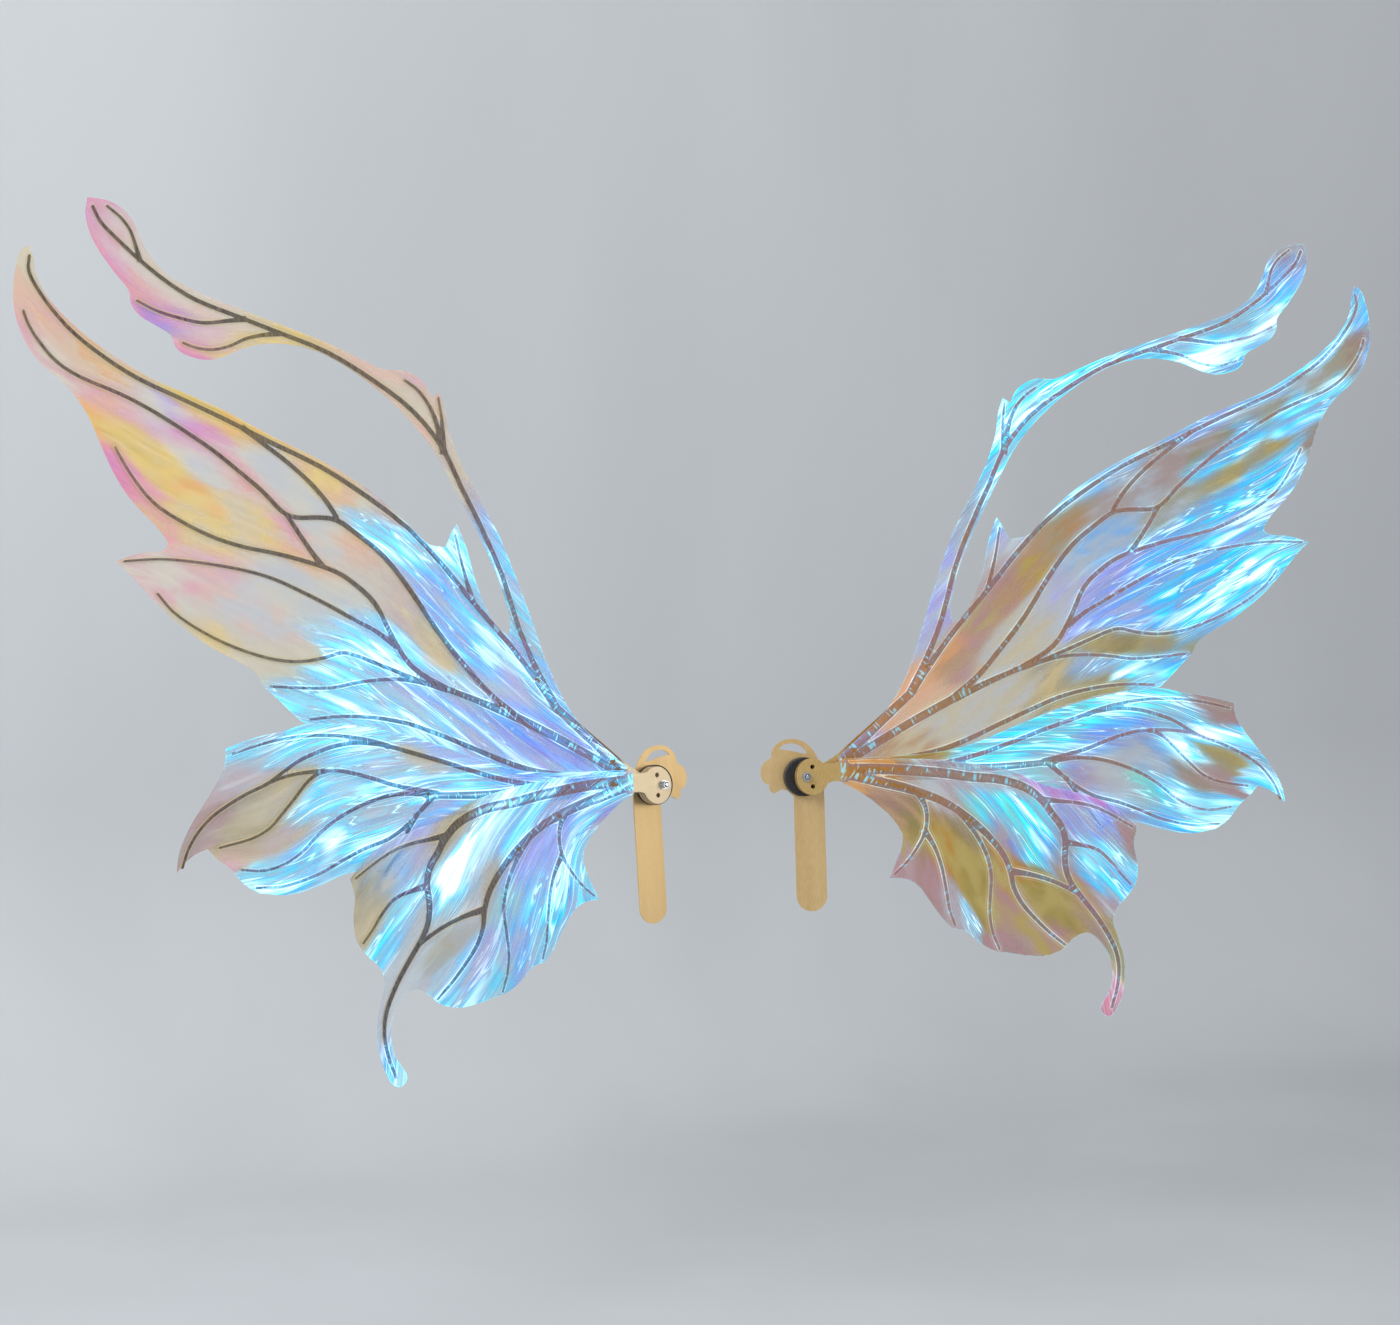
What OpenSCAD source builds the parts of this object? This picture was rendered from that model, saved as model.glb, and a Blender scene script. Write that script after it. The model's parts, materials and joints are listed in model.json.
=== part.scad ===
// Fairy wings: two fans of three laminated panels, each fan on one pivot screw
// over a hub disc and a back plate. Sizes in millimetres.
// X runs across the wearer's back, +Y goes into the wearer, Z is up.
// The origin is midway between the two pivot plates, on their back faces.

/* [Wings] */
// Reach of one wing from its head centre to the outermost tip
wing_reach = 472; // [380:1:600]
// Height of the antenna tip above the head centre
wing_rise = 415; // [330:1:520]
// Distance between the two head centres
head_spacing = 135.4; // [100:0.1:180]
// Angle at which each wing sweeps away from the wearer
sweep = 12.7; // [0:0.1:30]
// Angle at which the wing tops lean toward the wearer
lean = 4.5; // [0:0.1:15]

/* [Panels] */
// Thickness of the cut sheet skeleton
sheet = 1.5; // [1:0.1:3]
// Thickness of one film
film = 0.25; // [0.1:0.05:0.4]
// Height of the oval head of a panel
head_d = 28; // [22:0.1:40]
// Width of the oval head of a panel
head_w = 25; // [20:0.1:36]
// Diameter of the two plain holes in a head
hole_d = 3.5; // [2:0.1:5]
// Vein width multiplier
vein_gain = 1; // [0.7:0.01:1.4]

/* [Pivot] */
// Diameter of the pivot screw
screw_d = 3; // [2.5:0.1:5]
// Clearance between screw and bore, on the diameter
screw_play = 0.1; // [0.04:0.02:0.18]
// Gap left between pieces that turn past each other
running_gap = 0.3; // [0.3:0.05:0.6]
// Thickness of the spacer ring between two heads
spacer_t = 1.6; // [0.8:0.1:2.4]
// Outer diameter of the spacer ring
spacer_d = 9; // [7:0.1:12]
// Diameter of the hub disc
hub_d = 30; // [20:0.1:34]
// Thickness of the hub disc
hub_t = 6.9; // [5:0.1:14]
// Outer diameter of the front washer
washer_d = 7; // [6:0.1:10]
// Thickness of the front washer
washer_t = 0.5; // [0.4:0.1:1.2]

/* [Back plate] */
// Thickness of the back plate
plate_t = 1.5; // [1:0.1:3]
// Width of the tongue that slides into the garment
tongue_w = 24; // [16:0.5:36]
// Depth of the tongue tip below the head centre
tongue_drop = 104; // [60:1:140]

/* [Hidden] */

bore_d = screw_d + screw_play;
pivot_u = -head_w / 5;
ku = wing_reach / 472;
kv = wing_rise / 415;

// Depths in front of the plate's back face, from the wearer outward
hub_y = plate_t;
upper_y = hub_y + hub_t + running_gap;
middle_y = upper_y + sheet + spacer_t + running_gap;
lower_y = middle_y + sheet + spacer_t + running_gap;
front_y = lower_y + sheet;
washer_y = front_y + running_gap;
nut_y = washer_y + washer_t;
nut_t = screw_d * 4 / 3;
nut_flats = screw_d * 5.5 / 3;
collar_d = nut_flats * 0.94;
insert_d = screw_d * 1.4;
insert_t = screw_d * 0.4;
tip_y = nut_y + nut_t + screw_d * 0.27;

// Curves -------------------------------------------------------------------

function at(p) = [p[0] * ku, p[1] * kv];

function bend(a, b, c, d, t) =
    0.5 * (2 * b + (c - a) * t + (2 * a - 5 * b + 4 * c - d) * t * t + (3 * b - a - 3 * c + d) * t * t * t);

function spline(p, n) = concat(
    [for (i = [0 : len(p) - 2], k = [0 : n - 1])
        bend(i == 0 ? 2 * p[0] - p[1] : p[i - 1], p[i], p[i + 1],
             i + 2 == len(p) ? 2 * p[i + 1] - p[i] : p[i + 2], k / n)],
    [p[len(p) - 1]]);

// An outline made of runs: smooth along a run, sharp where two runs meet
function outline(runs, n) = [for (r = runs) let (s = spline(r, n)) for (i = [0 : len(s) - 2]) s[i]];

// The same outline, stretched to the wing's reach and rise
function wing_outline(runs, n) = outline([for (r = runs) [for (q = r) at(q)]], n);

function unit(v) = v / norm(v);
function along(s, i) = unit(s[min(i + 1, len(s) - 1)] - s[max(i - 1, 0)]);
function across(s, i) = let (t = along(s, i)) [-t[1], t[0]];
function vein_w(i, m, a, b, root) = vein_gain * (a + (b - a) * i / m + root * pow(max(0, 1 - i / 5), 2));

// One vein: a strip along a curve, width a at the root and b at a rounded tip
module vein(points, a, b, root = 1.5) {
    s = spline([for (q = points) at(q)], 3);
    m = len(s) - 1;
    t = along(s, m);
    c = across(s, m);
    h = vein_gain * b / 2;
    linear_extrude(sheet)
        polygon(concat(
            [for (i = [0 : m]) s[i] + across(s, i) * vein_w(i, m, a, b, root) / 2],
            [s[m] + (t + c) * h * 0.7, s[m] + t * h, s[m] + (t - c) * h * 0.7],
            [for (i = [m : -1 : 0]) s[i] - across(s, i) * vein_w(i, m, a, b, root) / 2]));
}

// Head and neck shared by the three skeletons
module head() {
    scale([head_w / head_d, 1, 1]) cylinder(d = head_d, h = sheet, $fn = 96);
    linear_extrude(sheet)
        polygon(wing_outline([
            [[6, 11], [11, 10], [16, 10], [21, 11], [27, 14]],
            [[27, 14], [29, 5], [27, -5]],
            [[27, -5], [21, -4], [16, -4], [11, -6], [6, -11]],
            [[6, -11], [4, 0], [6, 11]]], 3));
}

module head_holes() {
    translate([pivot_u, 0, -1]) cylinder(d = bore_d, h = sheet + 2, $fn = 48);
    for (k = [-1, 1]) translate([0, k * head_d * 0.27, -1]) cylinder(d = hole_d, h = sheet + 2, $fn = 48);
}

// Skeletons ----------------------------------------------------------------

module upper_veins() {
    // stem that carries the antenna and the leading edge
    vein([[10, 4], [24, 13], [40, 27], [60, 44], [83, 64]], 10, 6, 0);
    // antenna with its three leaves and two spurs
    vein([[80, 61], [95, 90], [108, 120], [120, 160], [135, 195], [150, 225], [163, 252], [185, 278], [215, 299],
          [250, 318], [288, 331], [315, 340], [345, 350], [365, 361], [384, 375], [400, 389], [410, 399], [415, 409]],
         4, 2, 2.5);
    vein([[384, 374], [387, 386], [390, 395], [396, 403], [405, 410]], 2, 1.4);
    vein([[310, 339], [324, 337], [342, 335], [360, 338], [375, 342], [388, 348]], 2.6, 1.4);
    vein([[285, 330], [300, 328], [312, 325], [323, 320], [336, 317], [348, 318], [357, 321]], 2.4, 1.4);
    vein([[162, 248], [168, 274], [178, 291], [190, 300]], 3, 1.6, 3);
    vein([[162, 252], [162, 270], [164, 288]], 2.4, 1.4);
    // leading edge
    vein([[80, 61], [100, 88], [120, 113], [147, 143], [170, 170], [195, 195], [225, 217], [260, 238], [300, 256],
          [330, 270], [360, 283], [390, 296], [412, 309], [432, 324], [447, 340], [457, 355], [461, 365], [460, 374]],
         4, 1.8, 2.5);
    vein([[145, 141], [152, 165], [157, 190]], 2.4, 1.4);
    vein([[318, 265], [300, 252], [285, 241], [270, 228], [258, 215], [250, 203]], 2.6, 3);
    // middle stem
    vein([[10, 2], [24, 8], [50, 23], [85, 42], [121, 60]], 6, 6, 0);
    vein([[115, 57], [135, 74], [150, 90], [175, 120], [195, 150], [215, 175], [235, 191], [250, 201], [265, 203],
          [280, 203], [291, 207], [305, 221], [322, 235], [340, 249], [360, 262], [380, 274], [402, 285], [430, 296],
          [446, 306], [457, 319], [463, 329], [466, 338]], 4, 1.6, 2.5);
    vein([[263, 169], [270, 178], [279, 191], [288, 205]], 3, 3);
    vein([[115, 57], [150, 72], [172, 81], [198, 97], [212, 118], [224, 142], [240, 157], [255, 166], [280, 174],
          [300, 179], [320, 183], [340, 189], [360, 198], [380, 210], [392, 222], [402, 237], [409, 250]], 4, 1.6, 2.5);
    vein([[210, 112], [225, 123], [240, 131], [260, 142], [280, 152], [300, 161], [320, 167], [340, 171], [360, 174],
          [382, 176], [407, 175]], 2.8, 1.4);
    vein([[165, 78], [180, 82], [200, 90], [225, 100], [240, 106], [252, 109], [266, 106], [284, 104], [302, 106],
          [320, 111], [340, 119], [360, 130], [375, 141], [385, 153]], 2.8, 1.4);
    vein([[184, 84], [198, 87], [215, 89], [240, 88], [262, 85], [285, 86], [307, 88]], 2.6, 1.5);
    // lowest vein
    vein([[10, 3], [26, 7], [50, 9], [80, 13], [105, 18], [130, 27], [160, 40], [182, 49], [200, 56], [220, 61],
          [240, 64], [260, 65], [279, 64]], 5, 1.6, 2);
}

module middle_veins() {
    vein([[10, 3], [26, 5], [60, 6], [100, 5], [135, 3], [165, 4], [195, 6]], 9, 4, 0);
    vein([[92, 5], [115, 9], [135, 14], [160, 22], [180, 29], [202, 36], [225, 43], [245, 46], [262, 45], [278, 41],
          [292, 36], [304, 29], [316, 22], [330, 17], [345, 10], [357, 3], [367, -6], [375, -17], [380, -29]], 3.4, 1.6, 2);
    vein([[222, 42], [236, 47], [255, 51], [278, 53], [300, 52], [320, 49], [340, 44]], 2.4, 1.4);
    vein([[185, 6], [200, 10], [220, 15], [240, 22], [258, 27], [272, 28], [284, 23], [295, 12], [306, 1], [316, -8],
          [330, -14], [353, -18]], 3, 1.4, 2);
    vein([[272, 28], [288, 28], [303, 26], [317, 22]], 2.2, 2);
    vein([[185, 5], [205, 8], [222, 8], [238, 5], [253, 0], [268, -7], [281, -16], [293, -26], [306, -33], [322, -36],
          [338, -34]], 3, 1.4, 2);
    vein([[188, 6], [198, -3], [210, -13], [226, -22], [244, -27], [260, -33], [276, -40], [292, -45], [310, -48],
          [328, -47]], 3, 1.4, 2);
    vein([[203, -7], [212, -20], [221, -33], [230, -45]], 2.2, 1.4);
}

module lower_veins() {
    vein([[10, 3], [26, 5], [60, 4], [100, 0], [125, -4], [145, -6], [160, -10], [173, -16], [183, -25], [190, -35],
          [197, -45], [200, -56], [199, -68], [200, -80], [204, -90], [212, -101], [222, -114], [231, -128], [238, -143],
          [240, -157], [238, -172], [233, -187]], 8, 2, 0);
    vein([[180, -23], [196, -25], [212, -27], [226, -31], [240, -38], [255, -47]], 2.8, 1.4, 2.5);
    vein([[199, -57], [214, -60], [226, -64], [236, -73], [244, -83], [252, -92]], 2.8, 1.4, 2.5);
    vein([[10, 0], [26, 1], [50, -5], [70, -10], [85, -15], [100, -21], [115, -30], [130, -42], [143, -56], [151, -68],
          [155, -80], [157, -91], [163, -103], [173, -115], [185, -127], [197, -137]], 8, 1.6, 0);
    vein([[154, -78], [170, -81], [186, -86], [199, -92], [211, -99]], 3, 2.6, 2.5);
    vein([[82, -14], [88, -25], [89, -37], [86, -48], [80, -58], [72, -68], [62, -77]], 3, 1.4, 2.5);
    vein([[87, -44], [95, -58], [100, -74], [103, -92], [105, -106], [109, -118]], 2.6, 1.4, 2);
    vein([[113, -28], [122, -40], [130, -52], [136, -65], [139, -80], [138, -95], [137, -110], [139, -125], [144, -138]],
         3, 1.4, 2.5);
}

module skeleton(which) {
    difference() {
        union() {
            head();
            if (which == "upper") upper_veins();
            if (which == "middle") middle_veins();
            if (which == "lower") lower_veins();
        }
        head_holes();
    }
}

// Film outlines ------------------------------------------------------------

upper_edge = [
    [[22, 15], [40, 30], [59, 47], [74, 68], [87, 97], [98, 130], [110, 163], [120, 188], [134, 214], [147, 238],
     [156, 262], [159, 280], [163, 292]],
    [[163, 292], [169, 288]],
    [[169, 288], [176, 300], [190, 307], [206, 307], [224, 314], [248, 324], [275, 333], [300, 341], [328, 350],
     [350, 358], [366, 367], [377, 378], [383, 391], [388, 402], [396, 410], [406, 414], [418, 415]],
    [[418, 415], [420, 404], [418, 392], [412, 380], [402, 366], [393, 355], [392, 346], [386, 338], [375, 332],
     [365, 326], [362, 318], [355, 313], [342, 310], [330, 312], [315, 318], [300, 322], [284, 323], [262, 320],
     [240, 311], [216, 296], [194, 278], [174, 256], [160, 233], [147, 209], [135, 186], [123, 159], [117, 138],
     [115, 124], [117, 116]],
    [[117, 116], [127, 123], [136, 139], [143, 159], [148, 180], [155, 198]],
    [[155, 198], [160, 190], [165, 181]],
    [[165, 181], [180, 184], [195, 198], [215, 216], [240, 232], [265, 245], [298, 260], [330, 276], [360, 288],
     [380, 296], [400, 307], [420, 320], [438, 335], [450, 349], [456, 362], [457, 372], [460, 381]],
    [[460, 381], [466, 376], [470, 362], [472, 345], [470, 330], [464, 315], [455, 303], [445, 295], [435, 285],
     [426, 271], [420, 256], [415, 243], [410, 232], [403, 220], [395, 210], [385, 200], [377, 190], [376, 184],
     [383, 181], [396, 180], [413, 175]],
    [[413, 175], [405, 168], [395, 157], [385, 146], [375, 136], [360, 124], [345, 114], [330, 106], [318, 98],
     [312, 88]],
    [[312, 88], [303, 80], [294, 71], [284, 62]],
    [[284, 62], [262, 60], [240, 58], [200, 48], [160, 33], [130, 20], [100, 10], [60, 3], [22, -2]],
    [[22, -2], [22, 15]]];

middle_edge = [
    [[22, 13], [60, 14], [100, 16], [130, 22], [160, 33], [200, 47], [240, 57], [265, 60], [284, 61], [302, 57],
     [322, 54], [344, 48]],
    [[344, 48], [345, 38], [350, 28], [361, 13], [373, -3], [381, -18], [384, -32]],
    [[384, -32], [378, -26], [370, -21], [361, -18]],
    [[361, -18], [355, -25], [345, -33], [336, -44], [325, -51]],
    [[325, -51], [304, -54], [282, -50], [262, -44], [248, -42], [238, -43], [230, -50]],
    [[230, -50], [220, -36], [200, -20], [170, -10], [130, -6], [60, -5], [22, -4]],
    [[22, -4], [22, 13]]];

lower_edge = [
    [[22, 12], [60, 12], [100, 10], [135, 5], [160, -1], [185, -12], [215, -20], [240, -30], [259, -47]],
    [[259, -47], [256, -60], [258, -73], [257, -89], [249, -101], [240, -110], [237, -120], [240, -132], [244, -146],
     [245, -162], [242, -178], [236, -191], [229, -194], [224, -188], [228, -180], [233, -172], [235, -159],
     [232, -146], [226, -136], [218, -129], [210, -129], [202, -134], [194, -141], [180, -145], [165, -144],
     [150, -141], [140, -139], [128, -132], [118, -123], [107, -120], [99, -112], [90, -99], [81, -87], [71, -81],
     [58, -80]],
    [[58, -80], [63, -69], [68, -57], [69, -46], [62, -34], [48, -21], [34, -11], [22, -5]],
    [[22, -5], [22, 12]]];

// Depths run outward from the plate: lay_y is the near face of the layer
module layer(lay_y) {
    rotate([90, 0, 0]) translate([0, 0, lay_y]) children();
}

module sheet_film(edge, lay_y) {
    layer(lay_y) linear_extrude(film) polygon(wing_outline(edge, 3));
}

// Hardware -----------------------------------------------------------------

plate_edge = [
    [[-11, 29.5], [-18, 29], [-24, 26], [-28, 21], [-29, 15]],
    [[-29, 15], [-33, 13], [-36.5, 9], [-37.5, 4], [-36.5, -1], [-34, -4.5], [-31, -4.5]],
    [[-31, -4.5], [-31, -9], [-28, -12], [-25, -11]],
    [[-25, -11], [-21.5, -9.5], [-17, -10.5], [-12, -15]]];
plate_side = [
    [[12, -15], [11.5, -4], [10, 6], [8, 13], [5, 19], [0, 25], [-5, 28], [-11, 29.5]]];
slot_edge = [
    [[-23, 22], [-19, 25], [-13.5, 26], [-8, 25], [-3.5, 22], [-0.5, 17.5]],
    [[-0.5, 17.5], [-6, 18.5], [-12, 20], [-18, 21], [-23, 22]]];

module back_plate() {
    layer(0) difference() {
        union() {
            linear_extrude(plate_t) polygon(concat(outline(plate_edge, 4), [[-12, -15]], [[12, -15]], outline(plate_side, 4)));
            translate([-tongue_w / 2, -tongue_drop + tongue_w / 2, 0]) cube([tongue_w, tongue_drop - tongue_w / 2, plate_t]);
            translate([0, -tongue_drop + tongue_w / 2, 0]) cylinder(d = tongue_w, h = plate_t, $fn = 96);
        }
        translate([0, 0, -1]) linear_extrude(plate_t + 2) polygon(outline(slot_edge, 4));
        translate([pivot_u, 0, -1]) cylinder(d = bore_d, h = plate_t + 2, $fn = 48);
        translate([pivot_u, 0, 0]) cylinder(d1 = screw_d * 2 + screw_play, d2 = bore_d, h = plate_t, $fn = 96);
    }
}

module hub() {
    layer(hub_y) translate([pivot_u, 0, 0]) difference() {
        union() {
            cylinder(d = hub_d, h = hub_t - 0.8, $fn = 96);
            translate([0, 0, hub_t - 0.8]) cylinder(d1 = hub_d, d2 = hub_d - 1.6, h = 0.8, $fn = 96);
        }
        translate([0, 0, -1]) cylinder(d = bore_d, h = hub_t + 2, $fn = 48);
    }
}

module pivot_screw() {
    layer(0) translate([pivot_u, 0, 0]) {
        cylinder(d1 = screw_d * 2, d2 = screw_d, h = plate_t, $fn = 96);
        cylinder(d = screw_d, h = tip_y - 0.4, $fn = 48);
        translate([0, 0, tip_y - 0.4]) cylinder(d1 = screw_d, d2 = screw_d - 0.8, h = 0.4, $fn = 48);
    }
}

module ring(lay_y, outer, thick) {
    layer(lay_y) translate([pivot_u, 0, 0]) difference() {
        cylinder(d = outer, h = thick, $fn = 72);
        translate([0, 0, -1]) cylinder(d = bore_d, h = thick + 2, $fn = 48);
    }
}

module lock_nut() {
    layer(nut_y) translate([pivot_u, 0, 0]) difference() {
        union() {
            intersection() {
                cylinder(d = nut_flats / cos(30), h = nut_t * 0.7, $fn = 6);
                cylinder(d1 = nut_flats * 1.02, d2 = nut_flats * 1.4, h = nut_t * 0.7, $fn = 72);
            }
            cylinder(d = collar_d, h = nut_t, $fn = 72);
        }
        translate([0, 0, -1]) cylinder(d = bore_d, h = nut_t + 2, $fn = 48);
        translate([0, 0, nut_t - insert_t - 0.2]) cylinder(d = insert_d, h = insert_t + 1, $fn = 48);
    }
}

module nut_insert() {
    layer(nut_y + nut_t - insert_t - 0.2) translate([pivot_u, 0, 0]) difference() {
        cylinder(d = insert_d, h = insert_t, $fn = 48);
        translate([0, 0, -1]) cylinder(d = screw_d + 0.04, h = insert_t + 2, $fn = 48);
    }
}

// Placement ----------------------------------------------------------------

module side(k) {
    mirror([k < 0 ? 1 : 0, 0, 0])
        translate([head_spacing / 2, 0, 0]) rotate([0, 0, -sweep]) rotate([-lean, 0, 0]) children();
}

module left_back_plate() { color("#c9a24a") side(-1) back_plate(); }
module left_hub() { color("#1c1c1e") side(-1) hub(); }
module left_pivot_screw() { color("#c8ccd0") side(-1) pivot_screw(); }
module left_washer() { color("#c0c4c8") side(-1) ring(washer_y, washer_d, washer_t); }
module left_lock_nut() { color("#b8bcc0") side(-1) lock_nut(); }
module left_nut_insert() { color("#303238") side(-1) nut_insert(); }
module left_upper_skeleton() { color("#8a6a3a") side(-1) layer(upper_y) skeleton("upper"); }
module left_upper_film_back() { color("#d8dcc8", 0.4) side(-1) sheet_film(upper_edge, upper_y - film); }
module left_upper_film_front() { color("#d8dcc8", 0.4) side(-1) sheet_film(upper_edge, upper_y + sheet); }
module left_upper_spacer() { color("#c0c4c8") side(-1) ring(upper_y + sheet, spacer_d, spacer_t); }
module left_middle_skeleton() { color("#8a6a3a") side(-1) layer(middle_y) skeleton("middle"); }
module left_middle_film_back() { color("#b8d8e8", 0.4) side(-1) sheet_film(middle_edge, middle_y - film); }
module left_middle_film_front() { color("#b8d8e8", 0.4) side(-1) sheet_film(middle_edge, middle_y + sheet); }
module left_middle_spacer() { color("#c0c4c8") side(-1) ring(middle_y + sheet, spacer_d, spacer_t); }
module left_lower_skeleton() { color("#8a6a3a") side(-1) layer(lower_y) skeleton("lower"); }
module left_lower_film_back() { color("#c8c0e8", 0.4) side(-1) sheet_film(lower_edge, lower_y - film); }
module left_lower_film_front() { color("#c8c0e8", 0.4) side(-1) sheet_film(lower_edge, lower_y + sheet); }

module right_back_plate() { color("#c9a24a") side(1) back_plate(); }
module right_hub() { color("#1c1c1e") side(1) hub(); }
module right_pivot_screw() { color("#c8ccd0") side(1) pivot_screw(); }
module right_washer() { color("#c0c4c8") side(1) ring(washer_y, washer_d, washer_t); }
module right_lock_nut() { color("#b8bcc0") side(1) lock_nut(); }
module right_nut_insert() { color("#303238") side(1) nut_insert(); }
module right_upper_skeleton() { color("#8a6a3a") side(1) layer(upper_y) skeleton("upper"); }
module right_upper_film_back() { color("#d8dcc8", 0.4) side(1) sheet_film(upper_edge, upper_y - film); }
module right_upper_film_front() { color("#d8dcc8", 0.4) side(1) sheet_film(upper_edge, upper_y + sheet); }
module right_upper_spacer() { color("#c0c4c8") side(1) ring(upper_y + sheet, spacer_d, spacer_t); }
module right_middle_skeleton() { color("#8a6a3a") side(1) layer(middle_y) skeleton("middle"); }
module right_middle_film_back() { color("#b8d8e8", 0.4) side(1) sheet_film(middle_edge, middle_y - film); }
module right_middle_film_front() { color("#b8d8e8", 0.4) side(1) sheet_film(middle_edge, middle_y + sheet); }
module right_middle_spacer() { color("#c0c4c8") side(1) ring(middle_y + sheet, spacer_d, spacer_t); }
module right_lower_skeleton() { color("#8a6a3a") side(1) layer(lower_y) skeleton("lower"); }
module right_lower_film_back() { color("#c8c0e8", 0.4) side(1) sheet_film(lower_edge, lower_y - film); }
module right_lower_film_front() { color("#c8c0e8", 0.4) side(1) sheet_film(lower_edge, lower_y + sheet); }

left_back_plate();
left_hub();
left_pivot_screw();
left_washer();
left_lock_nut();
left_nut_insert();
left_upper_skeleton();
left_upper_film_back();
left_upper_film_front();
left_upper_spacer();
left_middle_skeleton();
left_middle_film_back();
left_middle_film_front();
left_middle_spacer();
left_lower_skeleton();
left_lower_film_back();
left_lower_film_front();
right_back_plate();
right_hub();
right_pivot_screw();
right_washer();
right_lock_nut();
right_nut_insert();
right_upper_skeleton();
right_upper_film_back();
right_upper_film_front();
right_upper_spacer();
right_middle_skeleton();
right_middle_film_back();
right_middle_film_front();
right_middle_spacer();
right_lower_skeleton();
right_lower_film_back();
right_lower_film_front();
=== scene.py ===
import json
import math
import bmesh
import bpy
import numpy as np
from mathutils import Matrix, Vector
from mathutils.geometry import delaunay_2d_cdt


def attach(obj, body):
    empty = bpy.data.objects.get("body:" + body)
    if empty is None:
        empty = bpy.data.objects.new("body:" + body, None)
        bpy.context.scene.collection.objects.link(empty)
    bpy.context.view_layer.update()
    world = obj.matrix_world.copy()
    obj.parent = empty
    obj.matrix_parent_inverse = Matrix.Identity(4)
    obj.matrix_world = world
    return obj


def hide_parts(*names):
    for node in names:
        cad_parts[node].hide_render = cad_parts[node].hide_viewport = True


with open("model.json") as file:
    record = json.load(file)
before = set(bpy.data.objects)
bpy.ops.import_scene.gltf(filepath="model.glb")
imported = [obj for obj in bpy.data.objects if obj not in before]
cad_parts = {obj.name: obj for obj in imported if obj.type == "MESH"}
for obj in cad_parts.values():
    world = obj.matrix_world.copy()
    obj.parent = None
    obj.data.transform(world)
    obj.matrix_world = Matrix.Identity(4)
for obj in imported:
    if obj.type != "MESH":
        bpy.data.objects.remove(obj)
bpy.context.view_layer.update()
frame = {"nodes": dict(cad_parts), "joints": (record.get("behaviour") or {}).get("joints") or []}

mm = 0.001
scene = bpy.context.scene
scene.view_settings.view_transform = "Standard"


viewpoint = {
    "turn": 22.52,            # degrees the camera stands to the left of straight behind
    "pitch": 2.67,            # degrees it looks down
    "roll": -0.87,
    "distance": 1.894,        # metres to the pivots
    "slide": (0.0275, -0.0897),
    "lens": 64.29,
    "aim": (0, -0.0165, 0.0013),
}


def makeCamera():
    # Turns about Z, then X, then Y, and steps back along the view
    turn, pitch, roll = (math.radians(viewpoint[k]) for k in ("turn", "pitch", "roll"))
    look = Matrix.Rotation(roll, 3, "Y") @ Matrix.Rotation(pitch, 3, "X") @ Matrix.Rotation(turn, 3, "Z")
    across, up = viewpoint["slide"]
    place = look.transposed() @ -Vector((across, viewpoint["distance"], up)) + Vector(viewpoint["aim"])
    data = bpy.data.cameras.new("camera")
    data.lens = viewpoint["lens"]
    data.sensor_width = 36
    camera = bpy.data.objects.new("camera", data)
    camera.matrix_world = Matrix((look[0], look[2], -look[1])).transposed().to_4x4()
    camera.location = place
    scene.collection.objects.link(camera)
    scene.camera = camera


def linear(hexCode):
    # Turns a web colour into linear light
    parts = [int(hexCode[i:i + 2], 16) / 255 for i in (0, 2, 4)]
    return tuple(c / 12.92 if c < 0.04045 else ((c + 0.055) / 1.055) ** 2.4 for c in parts)


# Film colours in linear light: the warm ones are the film's own tint; cyan, sky, azure, ice and white serve
# as painted reflections and highlights
tintsAndPaintedSheenColours = {name: linear(code) for name, code in {
    "clear": "C6C9CC", "cream": "E6DAAC", "sand": "DCC27A", "yellow": "F2CC10", "orange": "F0A844",
    "peach": "EEB28C", "pink": "EC8CA2", "magenta": "E650BC", "violet": "7A5CEA", "lilac": "AC9CF2",
    "periwinkle": "6E94FA", "azure": "1C7CFA", "sky": "34B2FE", "cyan": "18DAFC", "ice": "7EE8FF",
    "white": "E4FFFF", "silver": "B4C0CC", "amber": "BC8018", "bronze": "96843C", "brass": "BEA31C",
    "russet": "A07260", "rose": "B8888C", "aqua": "58F0DC",
}.items()}


def newMaterial(name):
    # A material with a Principled shader and its output
    material = bpy.data.materials.new(name)
    material.use_nodes = True
    tree = material.node_tree
    shader = tree.nodes["Principled BSDF"]
    return material, tree, shader


def addNode(tree, kind, inputs=None, **settings):
    # Adds a node, sets its fields, and links or sets its inputs
    node = tree.nodes.new(kind)
    for key, value in settings.items():
        setattr(node, key, value)
    for key, value in (inputs or {}).items():
        if isinstance(value, bpy.types.NodeSocket):
            tree.links.new(value, node.inputs[key])
        else:
            node.inputs[key].default_value = value
    return node


def calc(tree, operation, a, b=0.0, clamp=False):
    # One Math node
    return addNode(tree, "ShaderNodeMath", {0: a, 1: b}, operation=operation, use_clamp=clamp).outputs[0]


def blendColour(tree, factor, a, b, mode="MIX"):
    # One Mix node on colours
    node = addNode(tree, "ShaderNodeMix", data_type="RGBA", blend_type=mode)
    for key, value in ((0, factor), (6, a), (7, b)):
        if isinstance(value, bpy.types.NodeSocket):
            tree.links.new(value, node.inputs[key])
        else:
            node.inputs[key].default_value = value if key == 0 else (*value[:3], 1)
    return node.outputs[2]


def remap(tree, value, low, high, start=0.0, end=1.0):
    # Smooth step from start to end as value goes from low to high
    node = addNode(tree, "ShaderNodeMapRange", {0: value, 1: low, 2: high, 3: start, 4: end})
    node.interpolation_type = "SMOOTHSTEP"
    return node.outputs[0]


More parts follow.
